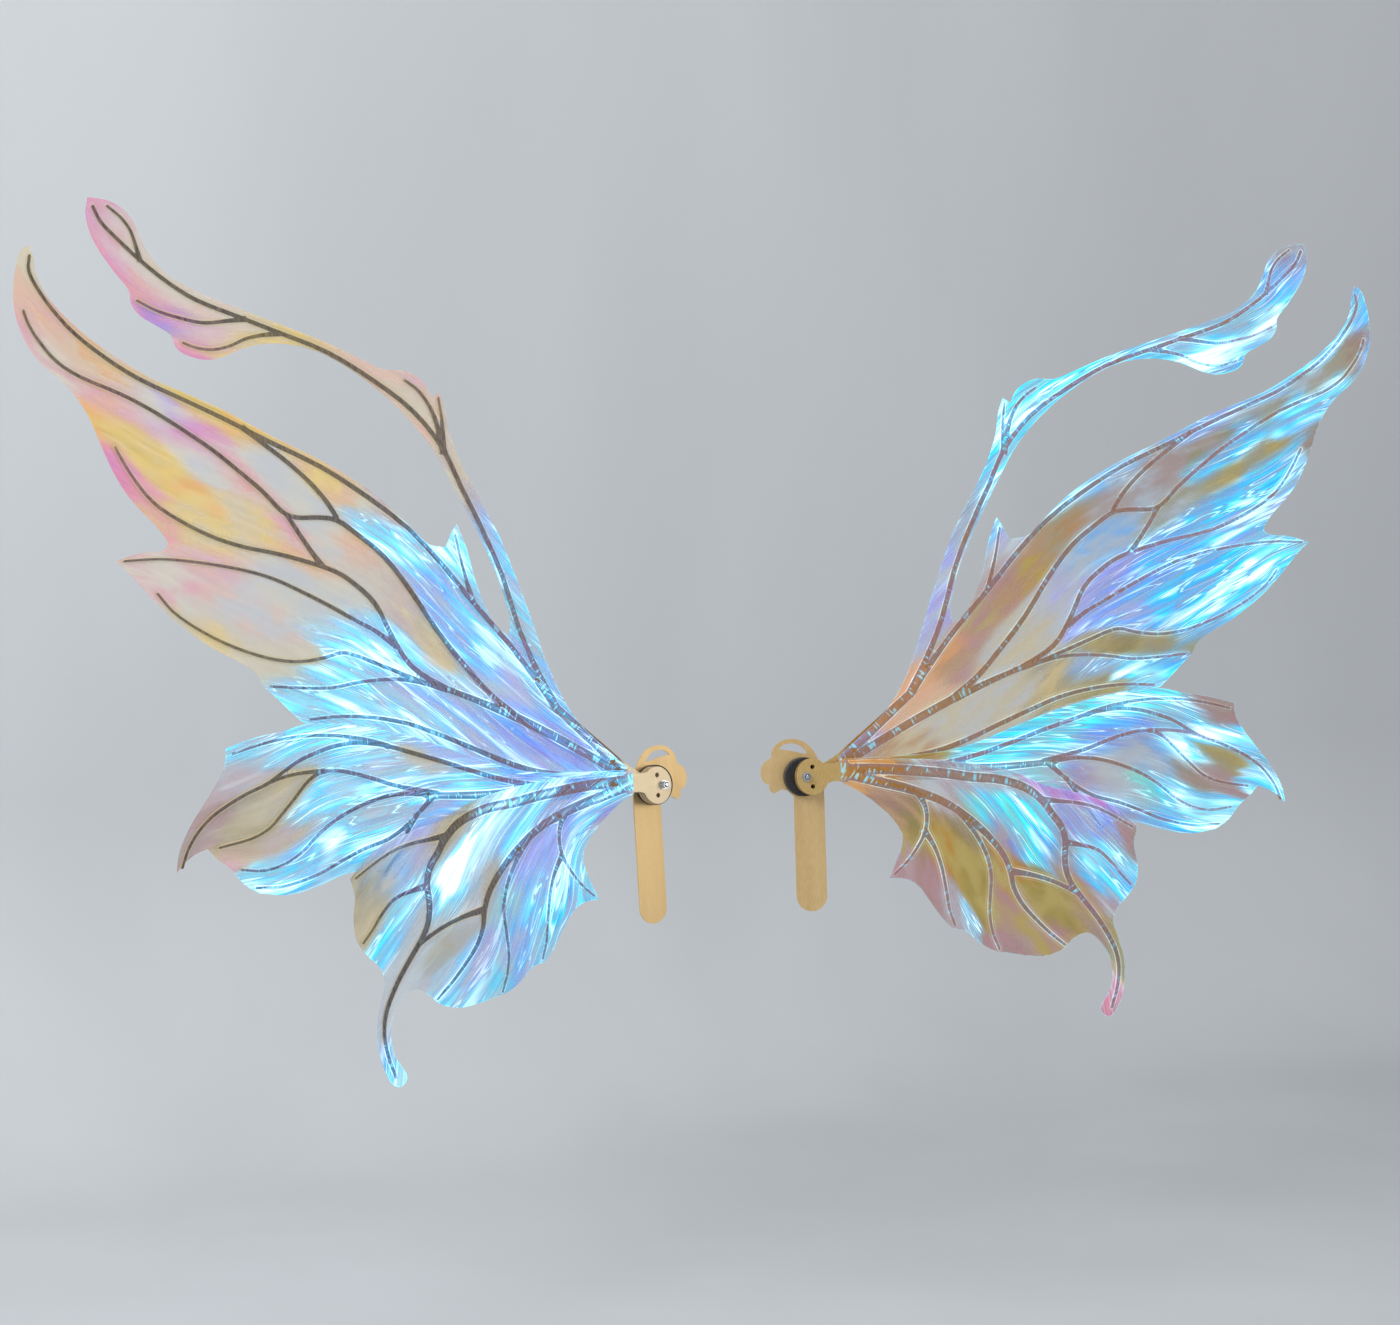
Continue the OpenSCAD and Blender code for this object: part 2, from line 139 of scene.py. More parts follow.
def newGroup(name, inputs, outputs):
    # A shader node group with named sockets: (name, kind, default)
    group = bpy.data.node_groups.new(name, "ShaderNodeTree")
    for label, kind, default in inputs:
        socket = group.interface.new_socket(label, in_out="INPUT", socket_type=kind)
        if default is not None:
            socket.default_value = default
    for label, kind in outputs:
        group.interface.new_socket(label, in_out="OUTPUT", socket_type=kind)
    return group, group.nodes.new("NodeGroupInput"), group.nodes.new("NodeGroupOutput")


def streakGroup():
    # Stretched noise: long along the first coordinate, short along the second
    group, source, sink = newGroup(
        "streaks",
        [("Vector", "NodeSocketVector", None), ("Along", "NodeSocketFloat", 1.0),
         ("Across", "NodeSocketFloat", 10.0), ("Seed", "NodeSocketFloat", 0.0),
         ("Low", "NodeSocketFloat", 0.4), ("High", "NodeSocketFloat", 0.6),
         ("Detail", "NodeSocketFloat", 4.0)],
        [("Mask", "NodeSocketFloat"), ("Height", "NodeSocketFloat")])
    stretch = addNode(group, "ShaderNodeCombineXYZ",
                      {0: source.outputs["Along"], 1: source.outputs["Across"], 2: 1.0})
    scaled = addNode(group, "ShaderNodeVectorMath", {0: source.outputs["Vector"], 1: stretch.outputs[0]},
                     operation="MULTIPLY")
    shift = addNode(group, "ShaderNodeCombineXYZ", {2: source.outputs["Seed"]})
    moved = addNode(group, "ShaderNodeVectorMath", {0: scaled.outputs[0], 1: shift.outputs[0]},
                    operation="ADD")
    noise = addNode(group, "ShaderNodeTexNoise", {"Vector": moved.outputs[0], "Scale": 1.0, "Roughness": 0.5,
                                                  "Distortion": 0.2, "Detail": source.outputs["Detail"]})
    mask = addNode(group, "ShaderNodeMapRange", {0: noise.outputs[0], 1: source.outputs["Low"],
                                                 2: source.outputs["High"]})
    mask.interpolation_type = "SMOOTHSTEP"
    group.links.new(mask.outputs[0], sink.inputs["Mask"])
    group.links.new(noise.outputs[0], sink.inputs["Height"])
    return group


streaks = streakGroup()


def addStreaks(tree, vector, along, across, seed, low=0.4, high=0.6, detail=4.0):
    # Places the streak group in a material
    node = addNode(tree, "ShaderNodeGroup", node_tree=streaks)
    tree.links.new(vector, node.inputs["Vector"])
    settings = {"Along": along, "Across": across, "Seed": seed, "Low": low, "High": high, "Detail": detail}
    for key, value in settings.items():
        node.inputs[key].default_value = value
    return node.outputs["Mask"], node.outputs["Height"]


pivotInset = 5.0          # millimetres from the head centre in to the pivot


class WingPlane:
    # The flat frame of one wing: u outboard, v up, w outward, in millimetres from the head centre

    def __init__(self, side):
        joint = next(j for j in frame["joints"] if j["name"] == side + "_upper_fan")
        flip = 1 if side == "right" else -1
        self.side = side
        self.pivot = np.array(joint["pos_m"])
        self.out = flip * np.array(joint["axis"])
        self.out /= np.linalg.norm(self.out)
        self.across = flip * np.cross((0, 0, 1), self.out)
        self.across /= np.linalg.norm(self.across)
        self.up = flip * np.cross(self.out, self.across)

    def flatten(self, points):
        # World points to (u, v, w)
        step = (points - self.pivot) / mm
        return np.stack([step @ self.across - pivotInset, step @ self.up, step @ self.out], axis=-1)

    def lift(self, flat):
        # (u, v, w) to world points
        u, v, w = (flat[..., i, None] * mm for i in range(3))
        return self.pivot + (u + pivotInset * mm) * self.across + v * self.up + w * self.out


wings = {side: WingPlane(side) for side in ("left", "right")}


def readTriangles(node, wing):
    # A CAD node's triangles in the wing's plane: an array of triangle, corner, (u, v, w)
    mesh = frame["nodes"][node].data
    mesh.calc_loop_triangles()
    corners = np.empty(len(mesh.loop_triangles) * 3, dtype=np.int32)
    mesh.loop_triangles.foreach_get("vertices", corners)
    places = np.empty(len(mesh.vertices) * 3)
    mesh.vertices.foreach_get("co", places)
    return wing.flatten(places.reshape(-1, 3))[corners.reshape(-1, 3)]


def readOutline(node, wing):
    # The front edges of a sheet: start, end and outward normal of each, and the sheet's two depths
    tri = readTriangles(node, wing)
    low, high = tri[..., 2].min(), tri[..., 2].max()
    front = np.abs(tri[..., 2] - high) < 0.02
    wall = front.sum(axis=1) == 2
    tri, front = tri[wall], front[wall]
    first = np.where(~front[:, 0], 1, np.where(~front[:, 1], 2, 0))
    rows = np.arange(len(tri))
    start, end = tri[rows, first], tri[rows, (first + 1) % 3]
    facing = np.cross(tri[:, 1] - tri[:, 0], tri[:, 2] - tri[:, 0])[:, :2]
    length = np.linalg.norm(facing, axis=1)
    keep = length > 1e-9
    facing = facing[keep] / length[keep, None]
    handed = 1 if wing.side == "right" else -1      # the left plane is a mirror image: normals turn round
    return start[keep, :2], end[keep, :2], facing * handed, low, high


def divide(start, end, facing, spacing):
    # Points along each segment no further apart than spacing, with the segment's normal
    length = np.linalg.norm(end - start, axis=1)
    count = np.maximum(1, np.ceil(length / spacing)).astype(int)
    row = np.repeat(np.arange(len(start)), count)
    step = np.arange(len(row)) - np.repeat(np.cumsum(count) - count, count)
    share = (step / count[row])[:, None]
    return start[row] + (end[row] - start[row]) * share, facing[row], row, step, count


def nearest(points, start, end, facing):
    # Distance from each point to the nearest segment, below zero inside, and that segment's number
    best = np.empty(len(points))
    which = np.empty(len(points), dtype=int)
    span = end - start
    size = np.maximum((span ** 2).sum(axis=1), 1e-12)
    for at in range(0, len(points), 3000):
        p = points[at:at + 3000, None]
        share = np.clip(((p - start) * span).sum(axis=2) / size, 0, 1)
        gap = p - start - share[..., None] * span
        far = (gap ** 2).sum(axis=2)
        near = far.argmin(axis=1)
        rows = np.arange(len(near))
        side = (gap[rows, near] * facing[near]).sum(axis=1)
        best[at:at + 3000] = np.sqrt(far[rows, near]) * np.where(side < 0, -1, 1)
        which[at:at + 3000] = near
    return best, which


def insideOutline(points, start, end):
    # Even-odd test: counts the edges that a ray toward +u crosses
    inside = np.zeros(len(points), dtype=bool)
    rise = end[:, 1] - start[:, 1]
    rise = np.where(np.abs(rise) < 1e-12, 1e-12, rise)
    for at in range(0, len(points), 3000):
        p = points[at:at + 3000]
        spans = (start[:, 1] > p[:, 1, None]) != (end[:, 1] > p[:, 1, None])
        hit = start[:, 0] + (p[:, 1, None] - start[:, 1]) * (end[:, 0] - start[:, 0]) / rise
        inside[at:at + 3000] = (spans & (hit > p[:, 0, None])).sum(axis=1) % 2 == 1
    return inside


flowGrid = {"low": (-60, -260), "high": (540, 480), "step": 4.0, "blurs": (4, 10, 24, 60, 140)}


def blurred(values, sigma):
    # Gaussian blur of a 2-D array by Fourier transform, sigma in cells
    ky = np.fft.fftfreq(values.shape[0])[:, None]
    kx = np.fft.fftfreq(values.shape[1])[None, :]
    return np.fft.ifft2(np.fft.fft2(values) * np.exp(-2 * (math.pi * sigma) ** 2 * (kx ** 2 + ky ** 2))).real


def potential(along, across, step):
    # The scalar field whose slope is nearest to (along, across): a Poisson solve by Fourier transform
    meanU, meanV = along.mean(), across.mean()
    rows, cols = along.shape
    kv = 2j * math.pi * np.fft.fftfreq(rows, step)[:, None]
    ku = 2j * math.pi * np.fft.fftfreq(cols, step)[None, :]
    size = (ku ** 2 + kv ** 2)
    size[0, 0] = 1
    wave = (ku * np.fft.fft2(along) + kv * np.fft.fft2(across)) / size
    wave[0, 0] = 0
    u = np.arange(cols)[None, :] * step
    v = np.arange(rows)[:, None] * step
    return np.fft.ifft2(wave).real + meanU * u + meanV * v


def flowFields(start, end):
    # Two maps over the wing plane: distance along the veins and distance across them
    low, high, step = flowGrid["low"], flowGrid["high"], flowGrid["step"]
    cols, rows = (int((high[i] - low[i]) / step) for i in (0, 1))
    middle, run = (start + end) / 2, end - start
    run = run * np.where((run * (middle - (10, 3))).sum(axis=1) < 0, -1, 1)[:, None]
    far = np.linalg.norm(middle, axis=1) > 20
    col = ((middle[far, 0] - low[0]) / step).astype(int)
    row = ((middle[far, 1] - low[1]) / step).astype(int)
    field = np.zeros((2, rows, cols))
    for i in (0, 1):
        np.add.at(field[i], (row, col), run[far, i])
    field = sum(np.stack([blurred(field[i], sigma / step) for i in (0, 1)]) / sigma ** 0.5
                for sigma in flowGrid["blurs"])
    field /= np.maximum(np.linalg.norm(field, axis=0), 1e-9)
    return potential(field[0], field[1], step), potential(-field[1], field[0], step), field


def sampleGrid(values, points):
    # Bilinear look-up of a map at plane points
    low, step = flowGrid["low"], flowGrid["step"]
    x = np.clip((points[:, 0] - low[0]) / step - 0.5, 0, values.shape[1] - 1.001)
    y = np.clip((points[:, 1] - low[1]) / step - 0.5, 0, values.shape[0] - 1.001)
    c, r = x.astype(int), y.astype(int)
    fx, fy = x - c, y - r
    return ((values[r, c] * (1 - fx) + values[r, c + 1] * fx) * (1 - fy)
            + (values[r + 1, c] * (1 - fx) + values[r + 1, c + 1] * fx) * fy)


def smoothNoise(x, y, seed):
    # Value noise: random heights on a unit lattice, eased between
    table = np.random.default_rng(seed).random((64, 64))
    c, r = np.floor(x).astype(int), np.floor(y).astype(int)
    fx, fy = x - c, y - r
    fx, fy = fx * fx * (3 - 2 * fx), fy * fy * (3 - 2 * fy)

    def pick(i, j):
        return table[(r + j) % 64, (c + i) % 64]

    return ((pick(0, 0) * (1 - fx) + pick(1, 0) * fx) * (1 - fy)
            + (pick(0, 1) * (1 - fx) + pick(1, 1) * fx) * fy)


filmLook = {
    "spacing": 1.7,           # millimetres between mesh points
    "hem": 0.8,               # millimetres from the edge to the first row inside it
    "skin": 0.12,             # how far the film stands off the metal it covers
    "dip": 0.66,              # how far it sinks between the veins
    "dipReach": 2.0,          # distance from a vein over which it sinks
    "wrinkle": 0.42,          # height of the wrinkles
    "stretch": 2.1,           # how much longer than wide a colour zone is
    "fray": 22.0,             # how far colour runs along the veins past a zone's edge
}

# Colour zones: centre u, v, half width, ground colour, streak colour, cover, painted sheen. Zones of ice,
# cyan, sky or white with high sheen are painted reflections, placed differently on each wing
zones = {
    "left_upper": [
        (415, 405, 12, "magenta", "pink", 0.5, 0.0), (400, 390, 10, "cream", "pink", 0.3, 0.0),
        (400, 365, 12, "magenta", "pink", 0.62, 0.0), (380, 370, 10, "cream", "sand", 0.3, 0.0),
        (385, 355, 10, "pink", "peach", 0.5, 0.0), (350, 355, 14, "cream", "peach", 0.36, 0.0),
        (370, 338, 10, "magenta", "violet", 0.6, 0.0), (345, 330, 10, "pink", "cream", 0.4, 0.0),
        (352, 315, 9, "magenta", "pink", 0.62, 0.0), (310, 322, 10, "sand", "yellow", 0.46, 0.0),
        (270, 330, 12, "sand", "yellow", 0.55, 0.0), (225, 318, 14, "sand", "peach", 0.4, 0.05),
        (180, 305, 10, "pink", "sand", 0.42, 0.0), (185, 275, 14, "sand", "peach", 0.42, 0.1),
        (150, 235, 14, "rose", "sand", 0.32, 0.15), (115, 175, 14, "sky", "cyan", 0.5, 0.6),
        (130, 205, 12, "rose", "azure", 0.4, 0.35), (100, 125, 12, "rose", "cyan", 0.42, 0.4),
        (455, 375, 10, "sand", "cream", 0.4, 0.0), (465, 350, 8, "orange", "peach", 0.42, 0.0),
        (445, 335, 10, "pink", "peach", 0.5, 0.0), (455, 312, 10, "cream", "pink", 0.4, 0.0),
        (440, 322, 7, "orange", "yellow", 0.5, 0.0), (415, 310, 10, "sand", "orange", 0.46, 0.0),
        (395, 302, 8, "peach", "yellow", 0.5, 0.0), (345, 278, 8, "yellow", "sand", 0.8, 0.0),
        (315, 263, 8, "yellow", "orange", 0.78, 0.0), (380, 278, 9, "cream", "lilac", 0.28, 0.0),
        (410, 280, 9, "pink", "peach", 0.55, 0.0), (420, 268, 7, "yellow", "orange", 0.76, 0.0),
        (400, 255, 8, "yellow", "sand", 0.84, 0.0), (375, 238, 8, "yellow", "sand", 0.86, 0.0),
        (355, 220, 7, "yellow", "orange", 0.76, 0.0), (355, 260, 10, "pink", "magenta", 0.42, 0.0),
        (350, 240, 8, "cream", "clear", 0.26, 0.0), (405, 232, 7, "magenta", "pink", 0.66, 0.0),
        (390, 208, 9, "orange", "pink", 0.55, 0.0), (350, 196, 10, "sand", "yellow", 0.46, 0.0),
        (320, 230, 9, "peach", "pink", 0.46, 0.0), (310, 205, 10, "sand", "yellow", 0.46, 0.0),
        (285, 195, 7, "pink", "magenta", 0.62, 0.0), (280, 180, 9, "peach", "orange", 0.46, 0.0),
        (300, 240, 9, "clear", "cream", 0.2, 0.0), (260, 236, 8, "orange", "yellow", 0.5, 0.1),
        (265, 190, 10, "clear", "cream", 0.2, 0.0), (235, 175, 8, "peach", "orange", 0.5, 0.05),
        (215, 210, 8, "sand", "rose", 0.4, 0.2), (210, 188, 9, "ice", "cyan", 0.6, 0.85),
        (190, 200, 8, "cyan", "sky", 0.5, 0.6), (345, 168, 10, "pink", "peach", 0.42, 0.0),
        (372, 165, 9, "cream", "pink", 0.38, 0.0), (325, 140, 12, "clear", "peach", 0.3, 0.0),
        (345, 126, 9, "sand", "yellow", 0.36, 0.0), (280, 150, 14, "clear", "cream", 0.18, 0.0),
        (245, 122, 11, "ice", "cyan", 0.8, 0.95), (220, 112, 10, "sky", "ice", 0.8, 0.9),
        (225, 160, 8, "sand", "clear", 0.3, 0.0), (305, 104, 10, "sand", "cream", 0.34, 0.0),
        (215, 160, 8, "sand", "rose", 0.36, 0.1), (185, 180, 9, "ice", "cyan", 0.7, 0.9),
        (205, 140, 8, "rose", "sand", 0.42, 0.15), (175, 155, 10, "sky", "azure", 0.6, 0.7),
        (160, 172, 9, "cyan", "ice", 0.66, 0.85), (150, 130, 10, "cyan", "sky", 0.6, 0.7),
        (160, 118, 9, "azure", "sky", 0.6, 0.6), (140, 103, 10, "azure", "cyan", 0.75, 0.75),
        (180, 110, 8, "brass", "sand", 0.5, 0.1), (205, 105, 9, "ice", "sky", 0.7, 0.9),
        (180, 78, 10, "sky", "lilac", 0.6, 0.6), (150, 75, 9, "sky", "clear", 0.5, 0.6),
        (120, 85, 9, "lilac", "silver", 0.42, 0.3), (105, 100, 9, "azure", "cyan", 0.75, 0.7),
        (90, 75, 10, "cyan", "sky", 0.7, 0.7), (115, 52, 10, "azure", "violet", 0.78, 0.6),
        (80, 42, 10, "periwinkle", "violet", 0.72, 0.5), (60, 30, 10, "azure", "violet", 0.75, 0.6),
        (35, 15, 10, "sky", "ice", 0.75, 0.85), (65, 70, 9, "violet", "periwinkle", 0.6, 0.5),
        (280, 84, 11, "cyan", "ice", 0.6, 0.75), (250, 75, 10, "ice", "cyan", 0.68, 0.9),
        (215, 66, 10, "cyan", "clear", 0.55, 0.7), (180, 55, 10, "sky", "ice", 0.55, 0.7),
        (160, 80, 8, "sand", "cyan", 0.42, 0.35), (140, 62, 9, "sky", "azure", 0.62, 0.6),
        (140, 38, 9, "lilac", "sky", 0.5, 0.5), (90, 12, 9, "sky", "lilac", 0.55, 0.5),
    ],
    "left_middle": [
        (40, 5, 9, "sky", "ice", 0.75, 0.85), (90, 8, 9, "aqua", "violet", 0.62, 0.6),
        (125, 7, 9, "sky", "azure", 0.65, 0.7), (165, 18, 10, "cyan", "ice", 0.62, 0.8),
        (170, 35, 9, "sky", "lilac", 0.5, 0.6), (195, 28, 7, "sand", "clear", 0.34, 0.1),
        (200, 14, 9, "ice", "sky", 0.7, 0.9), (225, 26, 9, "cyan", "clear", 0.6, 0.75),
        (285, 50, 9, "ice", "cyan", 0.62, 0.85), (320, 46, 9, "cyan", "silver", 0.5, 0.5),
        (250, 50, 9, "cyan", "ice", 0.62, 0.8), (335, 26, 9, "rose", "silver", 0.42, 0.2),
        (355, 10, 9, "rose", "russet", 0.5, 0.0), (370, -14, 9, "russet", "rose", 0.52, 0.0),
        (320, 12, 8, "sand", "bronze", 0.42, 0.05), (335, -10, 9, "brass", "bronze", 0.5, 0.0),
        (305, 15, 8, "bronze", "sand", 0.42, 0.05), (300, -12, 8, "rose", "sand", 0.45, 0.1),
        (270, 5, 9, "ice", "cyan", 0.7, 0.9), (250, 15, 9, "ice", "cyan", 0.72, 0.95),
        (270, -20, 10, "ice", "cyan", 0.8, 1.0), (295, -32, 9, "cyan", "sky", 0.7, 0.85),
        (315, -42, 8, "cyan", "ice", 0.65, 0.8), (235, -5, 10, "cyan", "silver", 0.62, 0.75),
        (225, -34, 9, "lilac", "silver", 0.45, 0.4), (240, -20, 9, "cyan", "ice", 0.66, 0.8),
        (350, -26, 7, "pink", "sand", 0.45, 0.05), (195, -12, 9, "lilac", "sky", 0.5, 0.5),
    ],
    "left_lower": [
        (35, 0, 9, "sky", "ice", 0.72, 0.8), (50, -28, 9, "silver", "violet", 0.5, 0.3),
        (70, -48, 9, "ice", "cyan", 0.72, 0.85), (62, -68, 8, "cyan", "ice", 0.7, 0.85),
        (80, -74, 9, "ice", "sky", 0.7, 0.9), (90, -35, 9, "periwinkle", "lilac", 0.58, 0.4),
        (105, -98, 9, "ice", "cyan", 0.66, 0.85), (115, -80, 9, "sky", "ice", 0.6, 0.7),
        (120, -50, 10, "periwinkle", "lilac", 0.55, 0.4), (130, -110, 9, "periwinkle", "sky", 0.5, 0.45),
        (145, -130, 8, "silver", "cyan", 0.45, 0.4), (135, -80, 9, "aqua", "sky", 0.5, 0.5),
        (140, -25, 10, "ice", "sky", 0.78, 0.95), (165, -42, 12, "white", "ice", 0.95, 1.0),
        (185, -60, 11, "ice", "cyan", 0.85, 1.0), (150, -60, 8, "bronze", "silver", 0.4, 0.1),
        (180, -22, 8, "brass", "bronze", 0.45, 0.1), (200, -28, 8, "lilac", "silver", 0.5, 0.3),
        (245, -60, 8, "brass", "bronze", 0.5, 0.05), (245, -80, 8, "bronze", "sand", 0.45, 0.05),
        (230, -50, 8, "silver", "sky", 0.5, 0.4), (220, -75, 9, "cyan", "ice", 0.76, 0.95),
        (232, -90, 8, "cyan", "ice", 0.76, 0.9), (210, -92, 9, "silver", "clear", 0.35, 0.2),
        (180, -92, 9, "bronze", "silver", 0.42, 0.15), (170, -80, 8, "silver", "clear", 0.35, 0.2),
        (160, -110, 9, "sky", "lilac", 0.52, 0.5), (175, -125, 9, "cyan", "silver", 0.48, 0.5),
        (185, -136, 7, "cyan", "ice", 0.55, 0.7), (230, -140, 9, "clear", "silver", 0.3, 0.2),
        (240, -165, 8, "silver", "lilac", 0.45, 0.25), (232, -188, 9, "ice", "cyan", 0.8, 1.0),
        (85, -12, 9, "periwinkle", "violet", 0.62, 0.5), (110, -15, 9, "sky", "ice", 0.7, 0.8),
    ],
    "right_upper": [
        (405, 408, 9, "russet", "silver", 0.5, 0.1), (395, 385, 10, "azure", "sky", 0.6, 0.75),
        (412, 385, 7, "sky", "lilac", 0.5, 0.6), (385, 360, 9, "ice", "cyan", 0.8, 1.0),
        (358, 355, 9, "cyan", "silver", 0.5, 0.6), (342, 332, 10, "ice", "ice", 0.9, 1.0),
        (362, 322, 8, "cyan", "sky", 0.72, 0.9), (320, 340, 9, "silver", "cyan", 0.5, 0.6),
        (270, 326, 12, "ice", "cyan", 0.72, 0.9), (215, 304, 12, "ice", "cyan", 0.7, 0.9),
        (180, 292, 10, "cyan", "aqua", 0.7, 0.85), (165, 248, 12, "ice", "cyan", 0.7, 0.9),
        (145, 205, 12, "ice", "sky", 0.5, 0.7), (122, 160, 12, "clear", "lilac", 0.36, 0.35),
        (105, 120, 12, "silver", "lilac", 0.32, 0.25), (135, 200, 8, "rose", "russet", 0.36, 0.1),
        (470, 368, 9, "cyan", "periwinkle", 0.7, 0.85), (462, 332, 9, "bronze", "russet", 0.55, 0.0),
        (473, 330, 6, "lilac", "sky", 0.7, 0.8), (445, 350, 7, "ice", "cyan", 0.7, 0.9),
        (420, 322, 7, "cyan", "ice", 0.66, 0.85), (380, 294, 7, "sky", "ice", 0.55, 0.75),
        (330, 272, 8, "sky", "lilac", 0.5, 0.6), (425, 305, 8, "bronze", "silver", 0.45, 0.15),
        (440, 298, 7, "cyan", "ice", 0.6, 0.8), (380, 280, 8, "bronze", "russet", 0.5, 0.05),
        (335, 255, 9, "russet", "bronze", 0.52, 0.05), (290, 230, 9, "russet", "silver", 0.5, 0.05),
        (405, 283, 7, "cyan", "ice", 0.6, 0.8), (365, 262, 9, "cyan", "sky", 0.7, 0.85),
        (335, 240, 8, "sky", "cyan", 0.65, 0.75), (405, 272, 7, "sky", "ice", 0.6, 0.8),
        (430, 280, 6, "lilac", "cyan", 0.6, 0.7), (420, 260, 8, "bronze", "russet", 0.58, 0.05),
        (380, 248, 8, "bronze", "brass", 0.58, 0.05), (340, 226, 8, "bronze", "brass", 0.58, 0.05),
        (300, 200, 8, "bronze", "silver", 0.5, 0.1), (405, 244, 7, "sky", "cyan", 0.66, 0.7),
        (375, 226, 9, "cyan", "sky", 0.72, 0.8), (340, 205, 9, "sky", "cyan", 0.72, 0.8),
        (305, 188, 8, "cyan", "sky", 0.66, 0.8), (400, 222, 7, "lilac", "ice", 0.5, 0.6),
        (360, 194, 9, "lilac", "cyan", 0.6, 0.7), (405, 178, 6, "ice", "cyan", 0.6, 0.8),
        (245, 140, 11, "periwinkle", "lilac", 0.6, 0.5), (282, 155, 11, "sky", "periwinkle", 0.8, 0.6),
        (300, 128, 12, "sky", "cyan", 0.82, 0.7), (330, 150, 11, "sky", "cyan", 0.8, 0.75),
        (355, 142, 10, "cyan", "sky", 0.76, 0.9), (375, 158, 9, "ice", "cyan", 0.76, 0.9),
        (350, 118, 8, "sky", "ice", 0.68, 0.85), (318, 108, 9, "cyan", "sky", 0.7, 0.85),
        (270, 118, 9, "lilac", "sky", 0.55, 0.55), (330, 98, 7, "bronze", "brass", 0.58, 0.0),
        (290, 96, 8, "bronze", "brass", 0.62, 0.0), (255, 98, 8, "brass", "bronze", 0.6, 0.0),
        (275, 78, 8, "cyan", "ice", 0.72, 0.95), (300, 82, 7, "cyan", "sky", 0.7, 0.85),
        (230, 78, 7, "sky", "silver", 0.5, 0.5), (200, 68, 9, "bronze", "sand", 0.52, 0.0),
        (235, 68, 7, "brass", "bronze", 0.58, 0.05), (160, 56, 9, "sand", "clear", 0.36, 0.0),
        (245, 228, 8, "sky", "silver", 0.45, 0.5), (245, 208, 9, "russet", "silver", 0.46, 0.05),
        (210, 192, 10, "bronze", "amber", 0.56, 0.0), (185, 168, 10, "amber", "brass", 0.66, 0.0),
        (160, 145, 10, "amber", "rose", 0.68, 0.0), (135, 118, 10, "brass", "rose", 0.68, 0.0),
        (115, 96, 10, "amber", "orange", 0.68, 0.0), (90, 70, 9, "orange", "peach", 0.62, 0.0),
        (65, 42, 8, "peach", "orange", 0.6, 0.0), (235, 175, 10, "silver", "sky", 0.36, 0.3),
        (210, 140, 10, "clear", "lilac", 0.3, 0.2), (180, 110, 10, "clear", "sand", 0.26, 0.05),
        (150, 90, 9, "clear", "sand", 0.26, 0.05), (210, 212, 7, "cyan", "ice", 0.5, 0.65),
        (170, 180, 8, "clear", "lilac", 0.3, 0.2), (140, 150, 8, "rose", "clear", 0.4, 0.1),
        (125, 88, 9, "amber", "rose", 0.55, 0.0), (90, 55, 8, "sand", "peach", 0.5, 0.0),
        (120, 45, 9, "sand", "clear", 0.36, 0.0), (70, 18, 9, "sand", "amber", 0.45, 0.0),
        (40, 22, 8, "amber", "lilac", 0.5, 0.2),
    ],
    "right_middle": [
        (45, 6, 9, "amber", "orange", 0.5, 0.1), (90, 9, 9, "amber", "brass", 0.5, 0.1),
        (140, 12, 9, "aqua", "cyan", 0.7, 0.75), (180, 26, 10, "aqua", "cyan", 0.74, 0.85),
        (212, 38, 9, "cyan", "aqua", 0.74, 0.85), (255, 55, 9, "aqua", "cyan", 0.7, 0.85),
        (280, 56, 8, "ice", "aqua", 0.7, 0.9), (325, 42, 8, "russet", "rose", 0.62, 0.0),
        (298, 44, 8, "cyan", "silver", 0.6, 0.7), (318, 24, 7, "ice", "cyan", 0.85, 1.0),
        (340, 20, 7, "ice", "sky", 0.8, 0.95), (366, -14, 8, "sky", "ice", 0.7, 0.85),
        (360, 2, 6, "silver", "cyan", 0.5, 0.5), (255, 12, 9, "silver", "rose", 0.42, 0.15),
        (240, 24, 9, "sky", "periwinkle", 0.6, 0.65), (275, 8, 8, "silver", "sky", 0.46, 0.35),
        (305, 8, 7, "ice", "ice", 0.92, 1.0), (300, -6, 7, "russet", "bronze", 0.58, 0.0),
        (337, 4, 7, "bronze", "brass", 0.6, 0.0), (322, -8, 7, "russet", "rose", 0.55, 0.0),
        (290, -20, 8, "ice", "cyan", 0.88, 1.0), (312, -34, 8, "cyan", "ice", 0.8, 0.95),
        (268, -18, 8, "silver", "aqua", 0.5, 0.4), (235, -8, 9, "silver", "clear", 0.36, 0.2),
        (215, -5, 8, "violet", "rose", 0.5, 0.3), (188, 2, 8, "aqua", "silver", 0.55, 0.5),
        (290, -48, 8, "cyan", "sky", 0.7, 0.85), (240, -36, 8, "sky", "rose", 0.6, 0.6),
    ],
    "right_lower": [
        (40, 2, 9, "amber", "orange", 0.62, 0.05), (120, -5, 9, "silver", "rose", 0.45, 0.25),
        (108, -20, 8, "clear", "rose", 0.32, 0.15), (140, -30, 9, "cyan", "aqua", 0.78, 0.85),
        (165, -46, 9, "cyan", "aqua", 0.8, 0.9), (185, -62, 8, "sky", "cyan", 0.76, 0.85),
        (150, -47, 6, "rose", "violet", 0.6, 0.1), (210, -16, 7, "lilac", "magenta", 0.5, 0.3),
        (220, -45, 8, "violet", "silver", 0.5, 0.4), (195, -72, 7, "russet", "rose", 0.62, 0.0),
        (235, -66, 8, "cyan", "ice", 0.76, 0.95), (240, -90, 8, "cyan", "sky", 0.78, 0.9),
        (252, -62, 6, "russet", "rose", 0.62, 0.0), (222, -80, 7, "ice", "cyan", 0.8, 0.95),
        (235, -105, 7, "silver", "rose", 0.5, 0.2), (85, -50, 8, "brass", "bronze", 0.84, 0.0),
